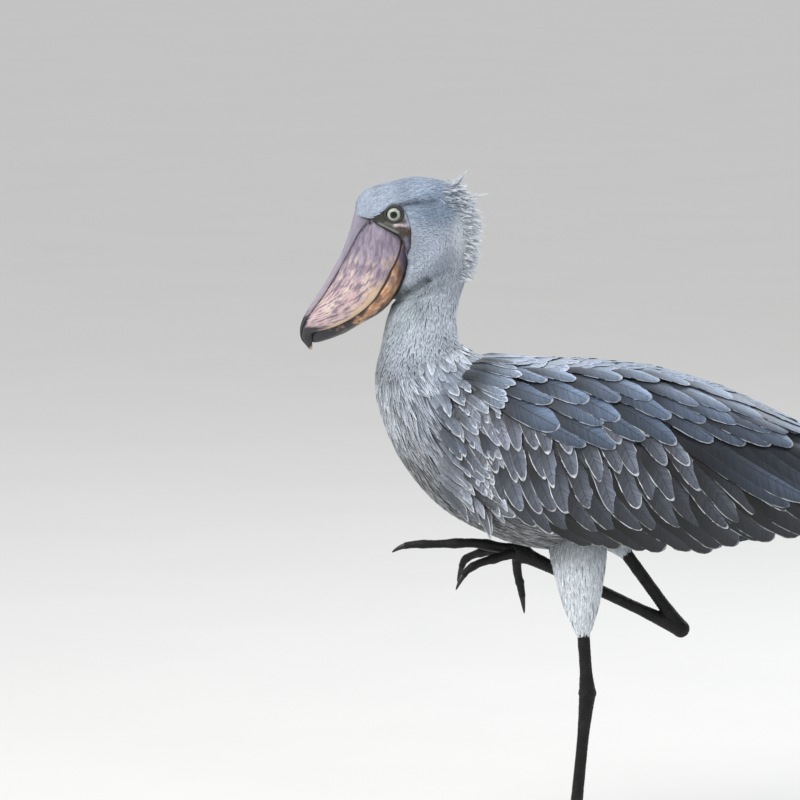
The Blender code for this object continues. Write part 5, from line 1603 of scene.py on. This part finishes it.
def claw_mesh(name, side, toe, path):
    """A claw: a curved cone from inside the toe's end, deeper than it is wide, ending in a blunt point."""
    _, _, tip, _ = TOES[toe]
    ahead = unit(path[-1] - path[-2])
    down = np.array((0, 0, -0.3 if side == "left" else -1.0))
    t = np.linspace(0, 1, 12)
    steps = path[-1] - ahead * 0.003 + ahead * (CLAW_LENGTH + 0.0034) * t[:, None]
    steps = steps + down * CLAW_LENGTH * 0.35 * (t**2)[:, None]
    radii = tip * 0.86 * (1 - t) ** 0.62 + 0.0004
    grid = grid_of(limb(steps, radii, 0.8), 0, 1, 44, 24)
    if side == "left":
        grid[..., 2] = np.maximum(grid[..., 2], 0.0001)
    return sheet_mesh(name, grid)


def leg_look(bare):
    """Leg skin: near black, greyer on the scales' crowns, with fine wrinkles and a dull wet gleam."""
    look = Look("leg_skin", Roughness=0.42, Specular_IOR_Level=0.25)
    scales = look.add("ShaderNodeSeparateXYZ", Vector=look.attribute("Scales").outputs["Vector"])
    patch = look.noise(look.place(), 55, 4)
    fine = look.cells(look.place((1, 1, 1), (0.3, 0, 0)), 900)
    colour = look.mix(look.step(patch, 0.35, 0.7), bare.leg_colour, bare.leg_pale_colour)
    seam = look.step(scales.outputs["Y"], 0.55, 0.05, 0.0, 0.75)
    look.colour(look.mix(seam, colour, bare.pupil_colour))
    look.bump(look.math("ADD", look.step(fine, 0.0, 0.2), look.noise(look.place(), 500, 3)), 0.35, 0.0005)
    return look.material


def claw_look(bare):
    """Claw horn: dark and smooth, paler along faint lines toward the tip."""
    look = Look("claw_horn", Roughness=0.35, Specular_IOR_Level=0.5)
    lines = look.noise(look.place((300, 1200, 1200)), 1.0, 3)
    look.colour(look.mix(look.step(lines, 0.4, 0.7), bare.claw_colour, bare.leg_colour))
    look.bump(lines, 0.2, 0.0003)
    return look.material


class BIRD_OT_legs(bpy.types.Operator):
    """Both legs from the bare shins to the toes, and the eight claws"""

    bl_idname = "bird.legs"
    bl_label = "Legs and claws"

    def execute(self, context):
        bare = context.scene.bird_bare
        skin, horn = leg_look(bare), claw_look(bare)
        for side in LEGS:
            mesh = leg_mesh(f"leg_{side}", side)
            print(side, "leg", len(mesh.loops) - 2 * len(mesh.polygons), "triangles")
            add_piece(f"leg_{side}", mesh, skin, "leg_skin", f"shank_{side}", f"foot_{side}")
            for toe, path in toe_paths(side).items():
                name = f"nail_{side}_{toe}"
                add_piece(name, claw_mesh(name, side, toe, path), horn, "claw_horn", f"claw_{side}_{toe}")
        return {"FINISHED"}


# The stage, the settings and the panel


class BIRD_OT_stage(bpy.types.Operator):
    """A wide pale floor, soft lamps and the camera"""

    bl_idname = "bird.stage"
    bl_label = "Stage"

    def execute(self, context):
        stage = context.scene.bird_stage
        rings = np.concatenate([np.linspace(0.5, 4, 12), np.geomspace(5, stage.floor_radius, 14)])
        around = np.arange(96) * 2 * math.pi / 96
        floor = np.stack([rings[:, None] * np.cos(around), rings[:, None] * np.sin(around),
                          0 * rings[:, None] * around - 0.0004], axis=-1)
        mesh = sheet_mesh("floor", np.concatenate([floor, floor[::-1] - (0, 0, 0.01)]))
        paper = Look("floor", Roughness=0.9, Specular_IOR_Level=0.1)
        grain = paper.noise(paper.place(), 3.0, 4)
        shade = [value * 0.985 for value in stage.floor_colour]
        paper.colour(paper.mix(paper.step(grain, 0.3, 0.7), stage.floor_colour, shade))
        obj = bpy.data.objects.new("floor", mesh)
        mesh.materials.append(paper.material)
        context.scene.collection.objects.link(obj)

        world = bpy.data.worlds.new("studio")
        world.use_nodes = True
        world.node_tree.nodes["Background"].inputs["Color"].default_value = (*stage.sky_colour, 1)
        world.node_tree.nodes["Background"].inputs["Strength"].default_value = stage.sky_strength
        context.scene.world = world
        context.scene.view_settings.view_transform = "Standard"

        aim = Vector(stage.aim)
        lamps = (
            ("key", (-2.4, -2.6, 4.2), 2.6, stage.key_power, stage.key_colour),
            ("front", (-3.2, -2.2, 0.9), 2.4, stage.fill_power, stage.fill_colour),
            ("rim", (2.2, 2.6, 3.4), 2.2, stage.rim_power, stage.fill_colour),
        )
        for name, place, size, power, colour in lamps:
            lamp = bpy.data.lights.new(name, "AREA")
            lamp.shape, lamp.size, lamp.energy, lamp.color = "DISK", size, power, colour
            holder = bpy.data.objects.new(name, lamp)
            holder.location = place
            holder.rotation_euler = (aim - Vector(place)).to_track_quat("-Z", "Y").to_euler()
            context.scene.collection.objects.link(holder)

        camera = bpy.data.cameras.new("camera")
        camera.lens, camera.sensor_width, camera.clip_end = stage.lens, 36, 200
        tilt = stage.elevation
        holder = bpy.data.objects.new("camera", camera)
        holder.location = aim + stage.distance * Vector((0, -math.cos(tilt), math.sin(tilt)))
        holder.rotation_euler = (math.pi / 2 - tilt, 0, 0)
        context.scene.collection.objects.link(holder)
        context.scene.camera = holder
        return {"FINISHED"}


def tone(name, description, red, green, blue):
    """A colour setting whose default is given in the usual 0 to 255 steps."""
    return bpy.props.FloatVectorProperty(name=name, description=description, subtype="COLOR", size=3, min=0, max=1,
                                         default=srgb(red, green, blue))


class BirdPlumage(bpy.types.PropertyGroup):
    """What the feathers share"""

    seed: bpy.props.IntProperty(name="Seed", description="Changes how the feathers fall", default=4, min=0)
    rim_colour: tone("Rims", "Worn pale edges of the feathers", 226, 230, 236)
    shaft_colour: tone("Shafts", "The feathers' shafts", 38, 42, 48)


class BirdBare(bpy.types.PropertyGroup):
    """Colours of the horn, the eyes and the bare skin"""

    pink_colour: tone("Horn pink", "Main colour of the upper mandible", 194, 166, 168)
    blush_colour: tone("Horn blush", "Second tone of the upper mandible", 208, 188, 180)
    cream_colour: tone("Horn cream", "Pale edge of the horn, and the nail's tip", 206, 180, 150)
    grey_colour: tone("Horn grey", "Mottling of the upper mandible", 108, 97, 114)
    keel_colour: tone("Horn keel", "The ridge along the upper mandible", 142, 137, 152)
    violet_colour: tone("Horn violet", "The upper mandible near the face", 130, 123, 144)
    brown_colour: tone("Horn brown", "Patches on the lower mandible, and the horn's lip", 74, 54, 46)
    amber_colour: tone("Horn amber", "Second tone of the lower mandible", 176, 124, 90)
    gape_colour: tone("Gape", "Skin where the lower mandible starts", 92, 82, 98)
    dark_colour: tone("Horn dark", "The hooked tip and the groove", 42, 42, 48)
    lores_colour: tone("Lores", "Bare skin before the eye", 44, 44, 42)
    eyelid_colour: tone("Bare skin", "Paler patches of the bare skin", 92, 90, 84)
    lid_colour: tone("Eyelid", "Ring of skin round the eye", 48, 50, 50)
    iris_colour: tone("Iris", "The pale iris", 184, 190, 178)
    iris_ray_colour: tone("Iris rays", "Fine darker rays of the iris", 128, 138, 124)
    pupil_colour: tone("Pupil", "The pupil, and the seams between the legs' scales", 6, 6, 7)
    leg_colour: tone("Leg", "The legs' dark skin", 13, 14, 13)
    leg_pale_colour: tone("Leg, paler", "Greyer patches of the legs", 30, 31, 30)
    claw_colour: tone("Claw", "The claws' horn", 22, 22, 22)


class BirdStage(bpy.types.PropertyGroup):
    """Floor, lamps and camera"""

    floor_colour: tone("Floor", "The floor's colour", 220, 220, 218)
    sky_colour: tone("Surround", "Colour of the light from all round", 238, 239, 240)
    key_colour: tone("Key lamp", "Colour of the main lamp", 255, 252, 246)
    fill_colour: tone("Fill lamps", "Colour of the other lamps", 244, 249, 255)
    floor_radius: bpy.props.FloatProperty(name="Floor radius", description="How far the floor reaches", default=60,
                                          unit="LENGTH")
    sky_strength: bpy.props.FloatProperty(name="Surround strength", description="Light from all round", default=0.88)
    key_power: bpy.props.FloatProperty(name="Key power", description="The main lamp", default=170, unit="POWER")
    fill_power: bpy.props.FloatProperty(name="Fill power", description="The lamp before the bird", default=16,
                                        unit="POWER")
    rim_power: bpy.props.FloatProperty(name="Rim power", description="The lamp behind the bird", default=80,
                                       unit="POWER")
    aim: bpy.props.FloatVectorProperty(name="Aim", description="What the camera looks at", subtype="TRANSLATION",
                                       default=(-0.241, 0, 0.669), unit="LENGTH")
    distance: bpy.props.FloatProperty(name="Distance", description="From the camera to its aim", default=12,
                                      unit="LENGTH")
    elevation: bpy.props.FloatProperty(name="Elevation", description="How far the camera looks down",
                                       default=math.radians(6.5), subtype="ANGLE")
    lens: bpy.props.FloatProperty(name="Lens", description="Focal length in millimetres", default=385.7)


class BIRD_PT_panel(bpy.types.Panel):
    """Lists the settings and the steps"""

    bl_idname = "BIRD_PT_panel"
    bl_label = "Wading bird"
    bl_space_type = "VIEW_3D"
    bl_region_type = "UI"
    bl_category = "Bird"

    def draw(self, context):
        for group in (context.scene.bird_plumage, context.scene.bird_bare, context.scene.bird_stage):
            box = self.layout.box()
            for key in group.bl_rna.properties.keys():
                if key not in ("rna_type", "name"):
                    box.prop(group, key)
        for step in STEPS:
            self.layout.operator(step.bl_idname)


STEPS = (BIRD_OT_skin, BIRD_OT_plumage, BIRD_OT_wings, BIRD_OT_tail, BIRD_OT_crest, BIRD_OT_bill, BIRD_OT_face,
         BIRD_OT_eyes, BIRD_OT_legs, BIRD_OT_stage)
GROUPS = {"bird_plumage": BirdPlumage, "bird_bare": BirdBare, "bird_stage": BirdStage}


def register():
    for each in (*GROUPS.values(), *STEPS, BIRD_PT_panel):
        bpy.utils.register_class(each)
    for name, group in GROUPS.items():
        setattr(bpy.types.Scene, name, bpy.props.PointerProperty(type=group))


def unregister():
    for name in GROUPS:
        delattr(bpy.types.Scene, name)
    for each in (BIRD_PT_panel, *reversed(STEPS), *reversed(GROUPS.values())):
        bpy.utils.unregister_class(each)


def main():
    register()
    bpy.ops.bird.skin()
    bpy.ops.bird.plumage()
    bpy.ops.bird.wings()
    bpy.ops.bird.tail()
    bpy.ops.bird.crest()
    bpy.ops.bird.bill()
    bpy.ops.bird.face()
    bpy.ops.bird.eyes()
    bpy.ops.bird.legs()
    bpy.ops.bird.stage()


if __name__ == "__main__":
    main()
